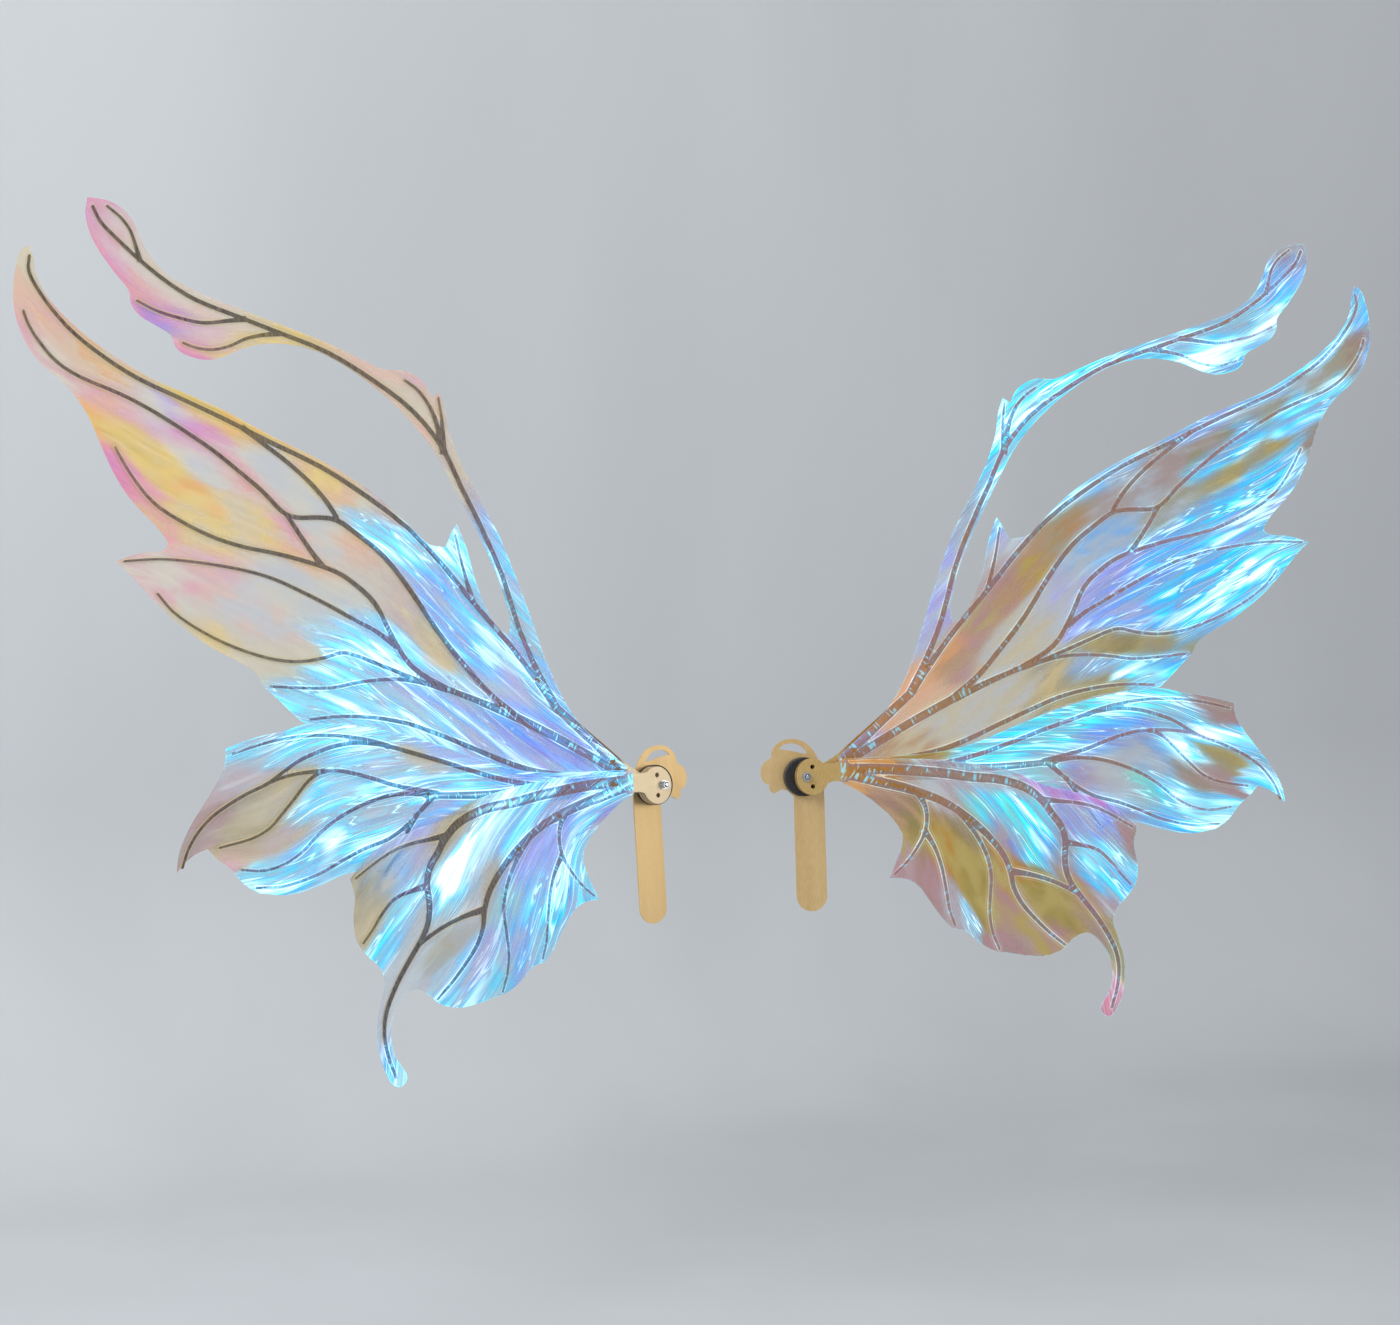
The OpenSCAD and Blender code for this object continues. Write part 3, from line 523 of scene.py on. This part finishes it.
        (80, -34, 8, "amber", "bronze", 0.66, 0.0), (70, -20, 8, "amber", "russet", 0.6, 0.0),
        (100, -62, 9, "brass", "amber", 0.86, 0.0), (95, -86, 8, "russet", "rose", 0.64, 0.0),
        (72, -74, 7, "rose", "rose", 0.62, 0.0), (125, -76, 9, "brass", "bronze", 0.86, 0.0),
        (120, -113, 4, "ice", "silver", 0.6, 0.7), (108, -105, 6, "rose", "silver", 0.56, 0.1),
        (147, -72, 8, "brass", "amber", 0.78, 0.0), (147, -100, 8, "brass", "rose", 0.76, 0.0),
        (165, -120, 9, "rose", "brass", 0.62, 0.0), (188, -110, 9, "brass", "bronze", 0.84, 0.0),
        (155, -135, 8, "russet", "rose", 0.64, 0.0), (190, -92, 8, "brass", "bronze", 0.84, 0.0),
        (212, -102, 8, "brass", "rose", 0.8, 0.0), (220, -120, 8, "russet", "brass", 0.66, 0.0),
        (195, -134, 7, "brass", "rose", 0.74, 0.0), (243, -150, 9, "bronze", "brass", 0.66, 0.1),
        (233, -186, 9, "rose", "pink", 0.72, 0.3), (125, -42, 8, "russet", "bronze", 0.58, 0.0),
    ],
}


def zoneColours(film, spots, seed):
    # Each point's ground colour, streak colour, cover and painted sheen (the strength of the painted
    # reflection): a bell-weighted mean of the zones.
    # A zone is an ellipse, longest along the veins; noise along the flow frays where zones meet
    along, across = film["flow"].T
    broad = smoothNoise(along / 60, across / 6, seed)
    fine = smoothNoise(along / 30, across / 3, seed + 5)
    fray = (broad + 0.5 * fine) - 0.75
    heading = film["heading"]
    points = film["flat"] + heading * (fray * filmLook["fray"])[:, None]
    weight = np.empty((len(points), len(spots)))
    for i, spot in enumerate(spots):
        step = points - spot[:2]
        ahead = step @ np.array(film["headingAt"](spot[:2]))
        away = (step ** 2).sum(axis=1) - ahead ** 2
        weight[:, i] = np.exp(-(ahead / (filmLook["stretch"] * spot[2])) ** 2 - away / spot[2] ** 2)
    weight = (weight + 1e-9) ** 1.2
    weight /= weight.sum(axis=1, keepdims=True)
    ground = weight @ np.array([tintsAndPaintedSheenColours[s[3]] for s in spots])
    streak = weight @ np.array([tintsAndPaintedSheenColours[s[4]] for s in spots])
    cover = weight @ np.array([s[5] for s in spots])
    paintedSheen = weight @ np.array([s[6] for s in spots])
    return np.column_stack([ground, cover]), np.column_stack([streak, paintedSheen])


def layFilm(part):
    # Flat mesh points, triangles and fields of one panel's film, worked out once for both wings
    wing = wings["right"]
    start, end, facing, _, _ = readOutline(f"right_{part}_film_front", wing)
    veinStart, veinEnd, veinFacing, _, _ = readOutline(f"right_{part}_skeleton", wing)
    spacing = filmLook["spacing"]

    edge, edgeFacing, row, step, count = divide(start, end, facing, spacing)
    keys = np.round(np.concatenate([edge, end]), 3)
    unique, index = np.unique(keys, axis=0, return_inverse=True)
    index = index.reshape(-1)
    last = step == count[row] - 1
    after = np.where(last, index[len(edge) + row], np.roll(index[:len(edge)], -1))
    links = np.column_stack([index[:len(edge)], after])

    hem = edge - edgeFacing * filmLook["hem"]
    ribs = divide(veinStart, veinEnd, veinFacing, spacing)[0]
    u = np.arange(start[:, 0].min(), start[:, 0].max(), spacing)
    v = np.arange(start[:, 1].min(), start[:, 1].max(), spacing * 0.87)
    gridU, gridV = np.meshgrid(u, v)
    gridU = gridU + (np.arange(len(v)) % 2)[:, None] * spacing / 2
    field = np.column_stack([gridU.ravel(), gridV.ravel()])
    inner = np.concatenate([hem, ribs, field])
    kind = np.repeat([0, 1, 2], [len(hem), len(ribs), len(field)])
    keep = insideOutline(inner, start, end)
    inner, kind = inner[keep], kind[keep]
    rimGap = np.abs(nearest(inner, start, end, facing)[0])
    veinGap = np.abs(nearest(inner, veinStart, veinEnd, veinFacing)[0])
    clear = (rimGap > 1.5) & (veinGap > 0.8)
    keep = np.where(kind == 0, rimGap > 0.7, np.where(kind == 1, rimGap > 1.0, clear))
    inner = inner[keep]
    points = np.concatenate([unique, inner])
    made = delaunay_2d_cdt([Vector(p) for p in points], links.tolist(), [], 1, 1e-4)
    flat = np.array([tuple(p) for p in made[0]])
    faces = np.array(made[2], dtype=np.int32)
    rim = np.abs(nearest(flat, start, end, facing)[0])
    vein = nearest(flat, veinStart, veinEnd, veinFacing)[0]
    along, across, field = flowFields(veinStart, veinEnd)
    flow = np.column_stack([sampleGrid(along, flat), sampleGrid(across, flat)])

    def headingAt(point):
        turn = [sampleGrid(f, np.array([point], dtype=float))[0] for f in field]
        return np.array(turn) / math.hypot(*turn)

    heading = np.column_stack([sampleGrid(f, flat) for f in field])
    size = flat.max(axis=0) - flat.min(axis=0)
    print(f"{part} film: {size[0]:.0f} x {size[1]:.0f} mm flat, {len(flat)} points, {len(faces)} triangles")
    return {"flat": flat, "faces": faces, "rim": rim, "vein": vein, "flow": flow,
            "heading": heading, "headingAt": headingAt}


def filmHeight(film, seed):
    # How far the film stands off the metal: flush on a vein, sunk between veins, with wrinkles along the flow
    gap = np.maximum(film["vein"], 0)
    sunk = filmLook["skin"] - filmLook["dip"] * (1 - np.exp(-gap / filmLook["dipReach"]))
    along, across = film["flow"].T
    coarse = smoothNoise(along / 55, across / 7, seed)
    fine = smoothNoise(along / 22, across / 3.2, seed + 1)
    room = np.clip(gap / 4, 0, 1)
    return sunk + filmLook["wrinkle"] * room * (0.65 * coarse + 0.35 * fine)


def newPiece(name, points, faces, body, material, smooth=True):
    # A mesh object in the row's frame that rides on a body
    mesh = bpy.data.meshes.new(name)
    mesh.from_pydata(points.tolist(), [], faces.tolist() if hasattr(faces, "tolist") else faces)
    mesh.validate()
    mesh.polygons.foreach_set("use_smooth", np.full(len(mesh.polygons), smooth))
    mesh.materials.append(material)
    piece = bpy.data.objects.new(name, mesh)
    scene.collection.objects.link(piece)
    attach(piece, body)
    return piece


def addAttribute(mesh, name, kind, values):
    # Stores one value or colour per point
    layer = mesh.attributes.new(name, kind, "POINT")
    field = "color" if kind == "FLOAT_COLOR" else "value"
    layer.data.foreach_set(field, np.asarray(values, dtype=np.float32).ravel())


def makeFilm(side, part, layer, film, material):
    # One film of one panel, on the front or the back of its skeleton
    wing = wings[side]
    node = f"{side}_{part}_film_{layer}"
    outward = 1 if layer == "front" else -1
    depth = readTriangles(f"{side}_{part}_skeleton", wing)[..., 2]
    seed = {"front": 3, "back": 40}[layer] + {"left": 0, "right": 100}[side]
    height = filmHeight(film, seed)
    face = depth.max() + height if outward > 0 else depth.min() - height
    points = wing.lift(np.column_stack([film["flat"], face]))
    turned = (outward > 0) == (side == "right")
    faces = film["faces"] if turned else film["faces"][:, ::-1]
    name = node + "_sheet"
    piece = newPiece(name, points, faces, f"{side}_{part}", material)
    mesh = piece.data
    corner = np.empty(len(mesh.loops), dtype=np.int32)
    mesh.loops.foreach_get("vertex_index", corner)
    layout = mesh.uv_layers.new(name="flow")
    layout.data.foreach_set("uv", (film["flow"][corner] / 100).astype(np.float32).ravel())
    # The ground colour's alpha is the cover; the streak colour's alpha is the strength of the painted sheen
    ground, streak = zoneColours(film, zones[f"{side}_{part}"], seed + 11)
    addAttribute(mesh, "ground", "FLOAT_COLOR", ground)
    addAttribute(mesh, "streak", "FLOAT_COLOR", streak)
    addAttribute(mesh, "vein", "FLOAT", film["vein"])
    addAttribute(mesh, "rim", "FLOAT", film["rim"])
    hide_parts(node)
    return piece


def filmMaterial(part, seed, paintedVeinHighlight):
    # Clear iridescent film: soft patches of tint, and painted sheen with sharp painted highlights and glints
    # along the veins where the painted sheen is high; the painted marks also glow through the emission
    material, tree, shader = newMaterial(part)
    uv = addNode(tree, "ShaderNodeUVMap", uv_map="flow").outputs[0]
    ground = addNode(tree, "ShaderNodeAttribute", attribute_name="ground")
    streak = addNode(tree, "ShaderNodeAttribute", attribute_name="streak")
    vein = addNode(tree, "ShaderNodeAttribute", attribute_name="vein").outputs["Fac"]
    rim = addNode(tree, "ShaderNodeAttribute", attribute_name="rim").outputs["Fac"]
    # The streak colour's alpha carries the strength of the painted sheen
    cover, paintedSheen = ground.outputs["Alpha"], streak.outputs["Alpha"]
    patches, _ = addStreaks(tree, uv, 3.0, 8.0, seed, 0.3, 0.7, 2.5)
    # Streak patterns that shape the painted sheen; their heights also feed the bump and roughness
    gleams, gleamHeight = addStreaks(tree, uv, 1.4, 10.0, seed + 4.3, 0.38, 0.58, 2.0)
    threads, threadHeight = addStreaks(tree, uv, 1.3, 32.0, seed + 9.1, 0.42, 0.56, 2.0)
    _, foldHeight = addStreaks(tree, uv, 1.0, 18.0, seed + 13.0, 0.4, 0.6, 1.5)
    # Short ticks across the veins where the film puckers: the mask carries painted glints, the height feeds
    # the bump
    paintedPuckerGlints, puckerHeight = addStreaks(tree, uv, 55.0, 8.0, seed + 17.7, 0.59, 0.64, 1.0)
    # Thin lines along the folds: the creases carry painted highlight lines, the bands just beside them
    # painted shade
    fold = calc(tree, "ABSOLUTE", calc(tree, "SUBTRACT", foldHeight, 0.5))
    creases = remap(tree, fold, 0.0, 0.016, 1.0, 0.0)
    paintedValleyShade = calc(tree, "MULTIPLY", remap(tree, fold, 0.014, 0.024), remap(tree, fold, 0.03, 0.06, 1.0, 0.0))

    onVein = remap(tree, vein, -0.3, 0.5, 1.0, 0.0)
    trunk = remap(tree, vein, -2.6, -1.3, 1.0, 0.0)
    shoulder = calc(tree, "MULTIPLY", remap(tree, vein, -0.1, 0.4), remap(tree, vein, 0.7, 1.4, 1.0, 0.0))
    flank = calc(tree, "MULTIPLY", remap(tree, vein, 1.6, 2.1), remap(tree, vein, 2.3, 3.2, 1.0, 0.0))
    hem = remap(tree, rim, 0.1, 0.8, 1.0, 0.0)
    # Where the painted sheen is strong; the vein lines also take painted highlights at a floor set per side
    paintedSheenZone = remap(tree, paintedSheen, 0.15, 0.6)
    paintedVeinHighlightZone = calc(tree, "MAXIMUM", paintedSheenZone, paintedVeinHighlight)
    # Painted reflection: a streaky sheen scaled by the zone's painted sheen, dimmed in the painted fold shade
    paintedSheenPattern = calc(tree, "MULTIPLY", remap(tree, gleams, 0.0, 1.0, 0.35, 1.0),
                 remap(tree, threads, 0.0, 1.0, 0.6, 1.0))
    paintedGloss = calc(tree, "MULTIPLY", paintedSheen, paintedSheenPattern)
    paintedGloss = calc(tree, "MULTIPLY", paintedGloss, remap(tree, paintedValleyShade, 0.0, 1.0, 1.0, 0.25))
    # Painted highlight lines hugging each vein, broken up by the streaks, and along the creases in the sheen
    # zones
    beside = calc(tree, "MAXIMUM", shoulder, calc(tree, "MULTIPLY", flank, 0.3))
    edges = calc(tree, "MULTIPLY", beside, paintedVeinHighlightZone)
    edges = calc(tree, "MULTIPLY", edges, remap(tree, gleamHeight, 0.4, 0.6, 0.3, 1.0))
    paintedHighlightLines = calc(tree, "MAXIMUM", edges, calc(tree, "MULTIPLY", creases, calc(tree, "MULTIPLY", paintedSheenZone, 0.85)))
    # Painted white highlight: the crests of the sheen streaks, the cores of the strongest zones, and the
    # highlight lines
    paintedWhiteHighlight = calc(tree, "MULTIPLY", paintedGloss, remap(tree, gleamHeight, 0.54, 0.66))
    paintedWhiteCore = calc(tree, "MULTIPLY", remap(tree, paintedSheen, 0.9, 1.0), remap(tree, gleams, 0.0, 1.0, 0.45, 0.9))
    paintedWhiteHighlight = calc(tree, "MAXIMUM", paintedWhiteHighlight, paintedWhiteCore)
    paintedWhiteHighlight = calc(tree, "MAXIMUM", paintedWhiteHighlight, calc(tree, "MULTIPLY", paintedHighlightLines, 0.8))
    # Painted glints: short ticks across the veins where the film puckers
    paintedGlintTicks = calc(tree, "MULTIPLY", paintedPuckerGlints, remap(tree, vein, 0.2, 1.4, 1.0, 0.0))
    paintedGlintTicks = calc(tree, "MULTIPLY", paintedGlintTicks, remap(tree, vein, -1.6, -0.6, 1.0, 0.45))
    paintedGlintTicks = calc(tree, "MULTIPLY", paintedGlintTicks, remap(tree, paintedVeinHighlightZone, 0.0, 0.8, 0.15, 0.85))

    colour = blendColour(tree, patches, ground.outputs["Color"], streak.outputs["Color"])
    # Painted shade in the sheen: azure in the gaps between streaks and in the fold valleys
    paintedAzureShade = calc(tree, "MULTIPLY", paintedSheenZone, calc(tree, "SUBTRACT", 1.0, threads))
    paintedAzureShade = calc(tree, "MULTIPLY", calc(tree, "MAXIMUM", paintedAzureShade, calc(tree, "MULTIPLY", paintedValleyShade, paintedSheenZone)), 0.3)
    colour = blendColour(tree, paintedAzureShade, colour, tintsAndPaintedSheenColours["azure"])
    # Painted cyan reflection, then painted white highlights
    colour = blendColour(tree, calc(tree, "MULTIPLY", paintedGloss, 0.5), colour, tintsAndPaintedSheenColours["cyan"])
    colour = blendColour(tree, paintedWhiteHighlight, colour, tintsAndPaintedSheenColours["white"])
    plainEdge = calc(tree, "MULTIPLY", shoulder, calc(tree, "SUBTRACT", 0.75, paintedVeinHighlightZone), clamp=True)
    colour = blendColour(tree, plainEdge, colour, tintsAndPaintedSheenColours["sand"])
    # Painted sheen on the veins under the film, lilac to sky where the vein highlight is on
    paintedVeinSheen = blendColour(tree, gleams, tintsAndPaintedSheenColours["lilac"], tintsAndPaintedSheenColours["sky"])
    thinVein = calc(tree, "SUBTRACT", onVein, trunk, clamp=True)
    paintedVeinSheenShare = calc(tree, "MULTIPLY", thinVein, calc(tree, "MULTIPLY", paintedVeinHighlightZone, 0.8))
    colour = blendColour(tree, paintedVeinSheenShare, colour, paintedVeinSheen)
    # Painted highlight along the film's edge, joined with the painted glints and painted in ice
    paintedRimHighlight = calc(tree, "MULTIPLY", paintedVeinHighlightZone, remap(tree, threadHeight, 0.4, 0.6, 0.2, 0.8))
    paintedGlints = calc(tree, "MAXIMUM", paintedGlintTicks, calc(tree, "MULTIPLY", hem, paintedRimHighlight))
    colour = blendColour(tree, paintedGlints, colour, tintsAndPaintedSheenColours["ice"])
    tree.links.new(colour, shader.inputs["Base Color"])

    # Alpha: clearer in the gaps between painted sheen streaks and in the painted fold shade; more opaque
    # under the painted reflections, highlight lines and glints
    gap = calc(tree, "MULTIPLY", paintedSheenZone, calc(tree, "SUBTRACT", 1.0, gleams))
    body = calc(tree, "MULTIPLY", cover, remap(tree, patches, 0.0, 1.0, 0.7, 1.0))
    body = calc(tree, "MULTIPLY", body, remap(tree, gap, 0.0, 1.0, 1.0, 0.6))
    paintedValleyShadeInSheen = calc(tree, "MULTIPLY", paintedValleyShade, paintedSheenZone)
    body = calc(tree, "MULTIPLY", body, remap(tree, paintedValleyShadeInSheen, 0.0, 1.0, 1.0, 0.55))
    body = calc(tree, "ADD", body, calc(tree, "MULTIPLY", paintedGloss, 0.35))
    body = calc(tree, "ADD", body, calc(tree, "MULTIPLY", paintedHighlightLines, 0.35))
    body = calc(tree, "ADD", body, calc(tree, "MULTIPLY", shoulder, 0.14))
    strength = calc(tree, "ADD", 0.36, calc(tree, "MULTIPLY", trunk, 0.3))
    kept = calc(tree, "ADD", 0.22, calc(tree, "MULTIPLY", paintedVeinHighlightZone, strength))
    lost = calc(tree, "MULTIPLY", onVein, calc(tree, "SUBTRACT", 1.0, kept))
    body = calc(tree, "MULTIPLY", body, calc(tree, "SUBTRACT", 1.0, lost))
    body = calc(tree, "ADD", body, calc(tree, "MULTIPLY", hem, 0.1))
    body = calc(tree, "ADD", body, calc(tree, "MULTIPLY", paintedGlints, 0.5), clamp=True)
    tree.links.new(body, shader.inputs["Alpha"])

    # Painted glow: the painted reflections, white highlights and glints feed the emission, so they shine with
    # no lamp
    paintedGlow = calc(tree, "ADD", calc(tree, "MULTIPLY", paintedGloss, 0.5), calc(tree, "MULTIPLY", paintedWhiteHighlight, 0.4))
    paintedGlow = calc(tree, "ADD", paintedGlow, calc(tree, "MULTIPLY", paintedGlints, 0.35))
    tree.links.new(blendColour(tree, paintedGlow, (0, 0, 0), colour), shader.inputs["Emission Color"])
    shader.inputs["Emission Strength"].default_value = 1.0

    tree.links.new(remap(tree, threadHeight, 0.3, 0.7, 0.12, 0.28), shader.inputs["Roughness"])
    height = calc(tree, "ADD", calc(tree, "MULTIPLY", threadHeight, 0.3), gleamHeight)
    height = calc(tree, "ADD", height, calc(tree, "MULTIPLY", creases, 0.12))
    height = calc(tree, "MULTIPLY", height, remap(tree, paintedSheenZone, 0.0, 1.0, 0.35, 1.0))
    height = calc(tree, "ADD", height, calc(tree, "MULTIPLY", puckerHeight, onVein))
    bump = addNode(tree, "ShaderNodeBump", {"Height": height, "Strength": 0.6, "Distance": 0.0014})
    tree.links.new(bump.outputs[0], shader.inputs["Normal"])
    shader.inputs["Specular IOR Level"].default_value = 0.7
    shader.inputs["IOR"].default_value = 1.6
    shader.inputs["Coat Weight"].default_value = 0.4
    shader.inputs["Coat Roughness"].default_value = 0.1
    shader.inputs["Thin Film Thickness"].default_value = 420.0
    shader.inputs["Thin Film IOR"].default_value = 1.7
    return material


def goldMaterial(name, light, dark, paintedShadeToTips, trunk=None):
    # Satin gold sheet: fine grain, cloudy tone, trunk colour under the film, and painted shade that darkens
    # it away from the root
    material, tree, shader = newMaterial(name)
    place = addNode(tree, "ShaderNodeTexCoord").outputs["Object"]
    grain, grainHeight = addStreaks(tree, place, 700.0, 3200.0, 2.0, 0.3, 0.7)
    clouds, _ = addStreaks(tree, place, 60.0, 60.0, 7.0, 0.35, 0.65)
    parts = addNode(tree, "ShaderNodeSeparateXYZ", {0: place})
    reach = calc(tree, "ABSOLUTE", parts.outputs[0])
    colour = blendColour(tree, calc(tree, "MULTIPLY", clouds, 0.4), light, dark if trunk is None else light)
    if trunk is not None:
        colour = blendColour(tree, remap(tree, reach, 0.087, 0.094), colour, trunk)
    # Painted shade: the sheet darkens away from the root by this share
    paintedTipShade = calc(tree, "MULTIPLY", remap(tree, reach, 0.12, 0.26), paintedShadeToTips)
    colour = blendColour(tree, paintedTipShade, colour, dark)
    colour = blendColour(tree, calc(tree, "MULTIPLY", grain, 0.12), colour, (1.0, 0.9, 0.7))
    tree.links.new(colour, shader.inputs["Base Color"])
    tree.links.new(remap(tree, grainHeight, 0.3, 0.7, 0.3, 0.42), shader.inputs["Roughness"])
    bump = addNode(tree, "ShaderNodeBump", {"Height": grainHeight, "Strength": 0.15, "Distance": 0.00005})
    tree.links.new(bump.outputs[0], shader.inputs["Normal"])
    shader.inputs["Metallic"].default_value = 0.6
    return material


def steelMaterial():
    # Bright zinc-plated steel with turning marks
    material, tree, shader = newMaterial("brightSteel")
    place = addNode(tree, "ShaderNodeTexCoord").outputs["Object"]
    marks, markHeight = addStreaks(tree, place, 900.0, 900.0, 1.0, 0.3, 0.7)
    tree.links.new(blendColour(tree, marks, linear("B9BDC2"), linear("DDE2E6")), shader.inputs["Base Color"])
    tree.links.new(remap(tree, markHeight, 0.3, 0.7, 0.14, 0.3), shader.inputs["Roughness"])
    shader.inputs["Metallic"].default_value = 1.0
    return material


def plasticMaterial(name, tone, high, rough):
    # Moulded plastic with a fine stipple
    material, tree, shader = newMaterial(name)
    place = addNode(tree, "ShaderNodeTexCoord").outputs["Object"]
    stipple, stippleHeight = addStreaks(tree, place, 1600.0, 1600.0, 5.0, 0.35, 0.65)
    tree.links.new(blendColour(tree, stipple, tone, high), shader.inputs["Base Color"])
    tree.links.new(remap(tree, stippleHeight, 0.3, 0.7, rough, rough + 0.15), shader.inputs["Roughness"])
    bump = addNode(tree, "ShaderNodeBump", {"Height": stippleHeight, "Strength": 0.4, "Distance": 0.00008})
    tree.links.new(bump.outputs[0], shader.inputs["Normal"])
    return material


def softenEdges(node, body, width, material):
    # A merged copy of a CAD node with its sharp edges rounded over
    source = frame["nodes"][node].data
    build = bmesh.new()
    build.from_mesh(source)
    bmesh.ops.remove_doubles(build, verts=build.verts, dist=2e-6)
    bmesh.ops.dissolve_limit(build, angle_limit=math.radians(0.5), verts=build.verts, edges=build.edges)
    mesh = bpy.data.meshes.new(node + "_rounded")
    build.to_mesh(mesh)
    build.free()
    mesh.materials.clear()
    mesh.materials.append(material)
    piece = bpy.data.objects.new(node + "_rounded", mesh)
    scene.collection.objects.link(piece)
    bevel = piece.modifiers.new("round", "BEVEL")
    bevel.width = width * mm
    bevel.segments = 2
    bevel.limit_method = "ANGLE"
    bevel.angle_limit = math.radians(50)
    bevel.harden_normals = False
    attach(piece, body)
    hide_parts(node)
    return piece


studio = {"wall": 0.9, "floor": -0.42, "bend": 0.35, "wallTone": "BEC0C2"}


def addLight(name, place, aim, size, power, tone):
    # One soft rectangular lamp
    data = bpy.data.lights.new(name, "AREA")
    data.shape = "RECTANGLE"
    data.size, data.size_y = size
    data.energy = power
    data.color = tone
    lamp = bpy.data.objects.new(name, data)
    lamp.location = place
    lamp.rotation_euler = (Vector(aim) - Vector(place)).to_track_quat("-Z", "Y").to_euler()
    scene.collection.objects.link(lamp)


def makeStudio():
    # A pale floor that bends up into a wall, and soft lamps
    profile = [(-3.0, studio["floor"]), (studio["wall"] - studio["bend"], studio["floor"])]
    for i in range(1, 13):
        turn = math.pi / 2 * i / 12
        profile.append((studio["wall"] - studio["bend"] + studio["bend"] * math.sin(turn),
                        studio["floor"] + studio["bend"] * (1 - math.cos(turn))))
    profile.append((studio["wall"], 3.0))
    depth = np.array(profile)
    x = np.array([-4.0, 4.0])
    points = np.array([(a, y, z) for y, z in depth for a in x])
    faces = [(2 * i, 2 * i + 1, 2 * i + 3, 2 * i + 2) for i in range(len(depth) - 1)]
    material, tree, shader = newMaterial("paintedWall")
    place = addNode(tree, "ShaderNodeTexCoord").outputs["Object"]
    mottle, _ = addStreaks(tree, place, 3.0, 3.0, 0.0, 0.3, 0.7)
    tone = linear(studio["wallTone"])
    lift = tuple(min(1, c * 1.06) for c in tone)
    tree.links.new(blendColour(tree, mottle, tone, lift), shader.inputs["Base Color"])
    shader.inputs["Roughness"].default_value = 0.9
    mesh = bpy.data.meshes.new("backdrop")
    mesh.from_pydata(points.tolist(), [], faces)
    mesh.polygons.foreach_set("use_smooth", np.full(len(faces), True))
    mesh.materials.append(material)
    backdrop = bpy.data.objects.new("backdrop", mesh)
    scene.collection.objects.link(backdrop)

    world = bpy.data.worlds.new("studio")
    world.use_nodes = True
    world.node_tree.nodes["Background"].inputs["Color"].default_value = (0.86, 0.9, 0.95, 1)
    world.node_tree.nodes["Background"].inputs["Strength"].default_value = 0.5
    scene.world = world
    addLight("windowLamp", (-2.2, -1.2, 1.5), (-0.3, 0.3, 0), (1.5, 1.3), 62, (0.97, 0.99, 1.0))
    addLight("fillLamp", (1.8, -2.2, 0.6), (0, 0, 0), (1.4, 1.2), 11, (1.0, 0.97, 0.93))
    addLight("topLamp", (-0.4, -0.4, 2.4), (0, 0, 0), (1.4, 1.0), 14, (1.0, 1.0, 1.0))


makeCamera()
makeStudio()
print("camera and studio made")

# The two vein golds are lit and shaded copies of one metal: the left is painted almost black toward the tips
# as shade of the backlit wing, the right keeps a lighter painted shade
goldPlate = goldMaterial("goldPlate", linear("E0BE84"), linear("C89F5E"), 0.0)
veinGold = {"left": goldMaterial("veinGoldLeft", linear("D9C4A0"), linear("2E2A2E"), 1.0, linear("6E4A30")),
            "right": goldMaterial("veinGoldRight", linear("CCA864"), linear("9A6C34"), 0.8, linear("AC7424"))}
steel = steelMaterial()
hubBlack = plasticMaterial("hubBlack", linear("141416"), linear("26262A"), 0.35)
insertDark = plasticMaterial("insertDark", linear("20242C"), linear("343A46"), 0.3)
# Painted highlight lines on the veins: none on the left wing, strong on the right, so each side's film
# materials are lit and shaded copies
paintedVeinHighlights = {"left": 0.0, "right": 0.6}
filmSeeds = {"upper": 1.0, "middle": 21.0, "lower": 41.0}
filmLooks = {(side, part): filmMaterial(f"{part}Film_{side}", filmSeeds[part], paintedVeinHighlights[side])
             for side in ("left", "right") for part in ("upper", "middle", "lower")}
print("materials made")

for part in ("upper", "middle", "lower"):
    film = layFilm(part)
    for side in ("left", "right"):
        for layer in ("back", "front"):
            makeFilm(side, part, layer, film, filmLooks[side, part])
        softenEdges(f"{side}_{part}_skeleton", f"{side}_{part}", 0.25, veinGold[side])
print("panels made")

finishes = {"back_plate": goldPlate, "hub": hubBlack, "pivot_screw": steel, "washer": steel,
            "lock_nut": steel, "nut_insert": insertDark, "upper_spacer": steel, "middle_spacer": steel}
for side in ("left", "right"):
    for name, material in finishes.items():
        frame["nodes"][f"{side}_{name}"].material_slots[0].material = material
print("hardware finished")

bpy.context.view_layer.update()
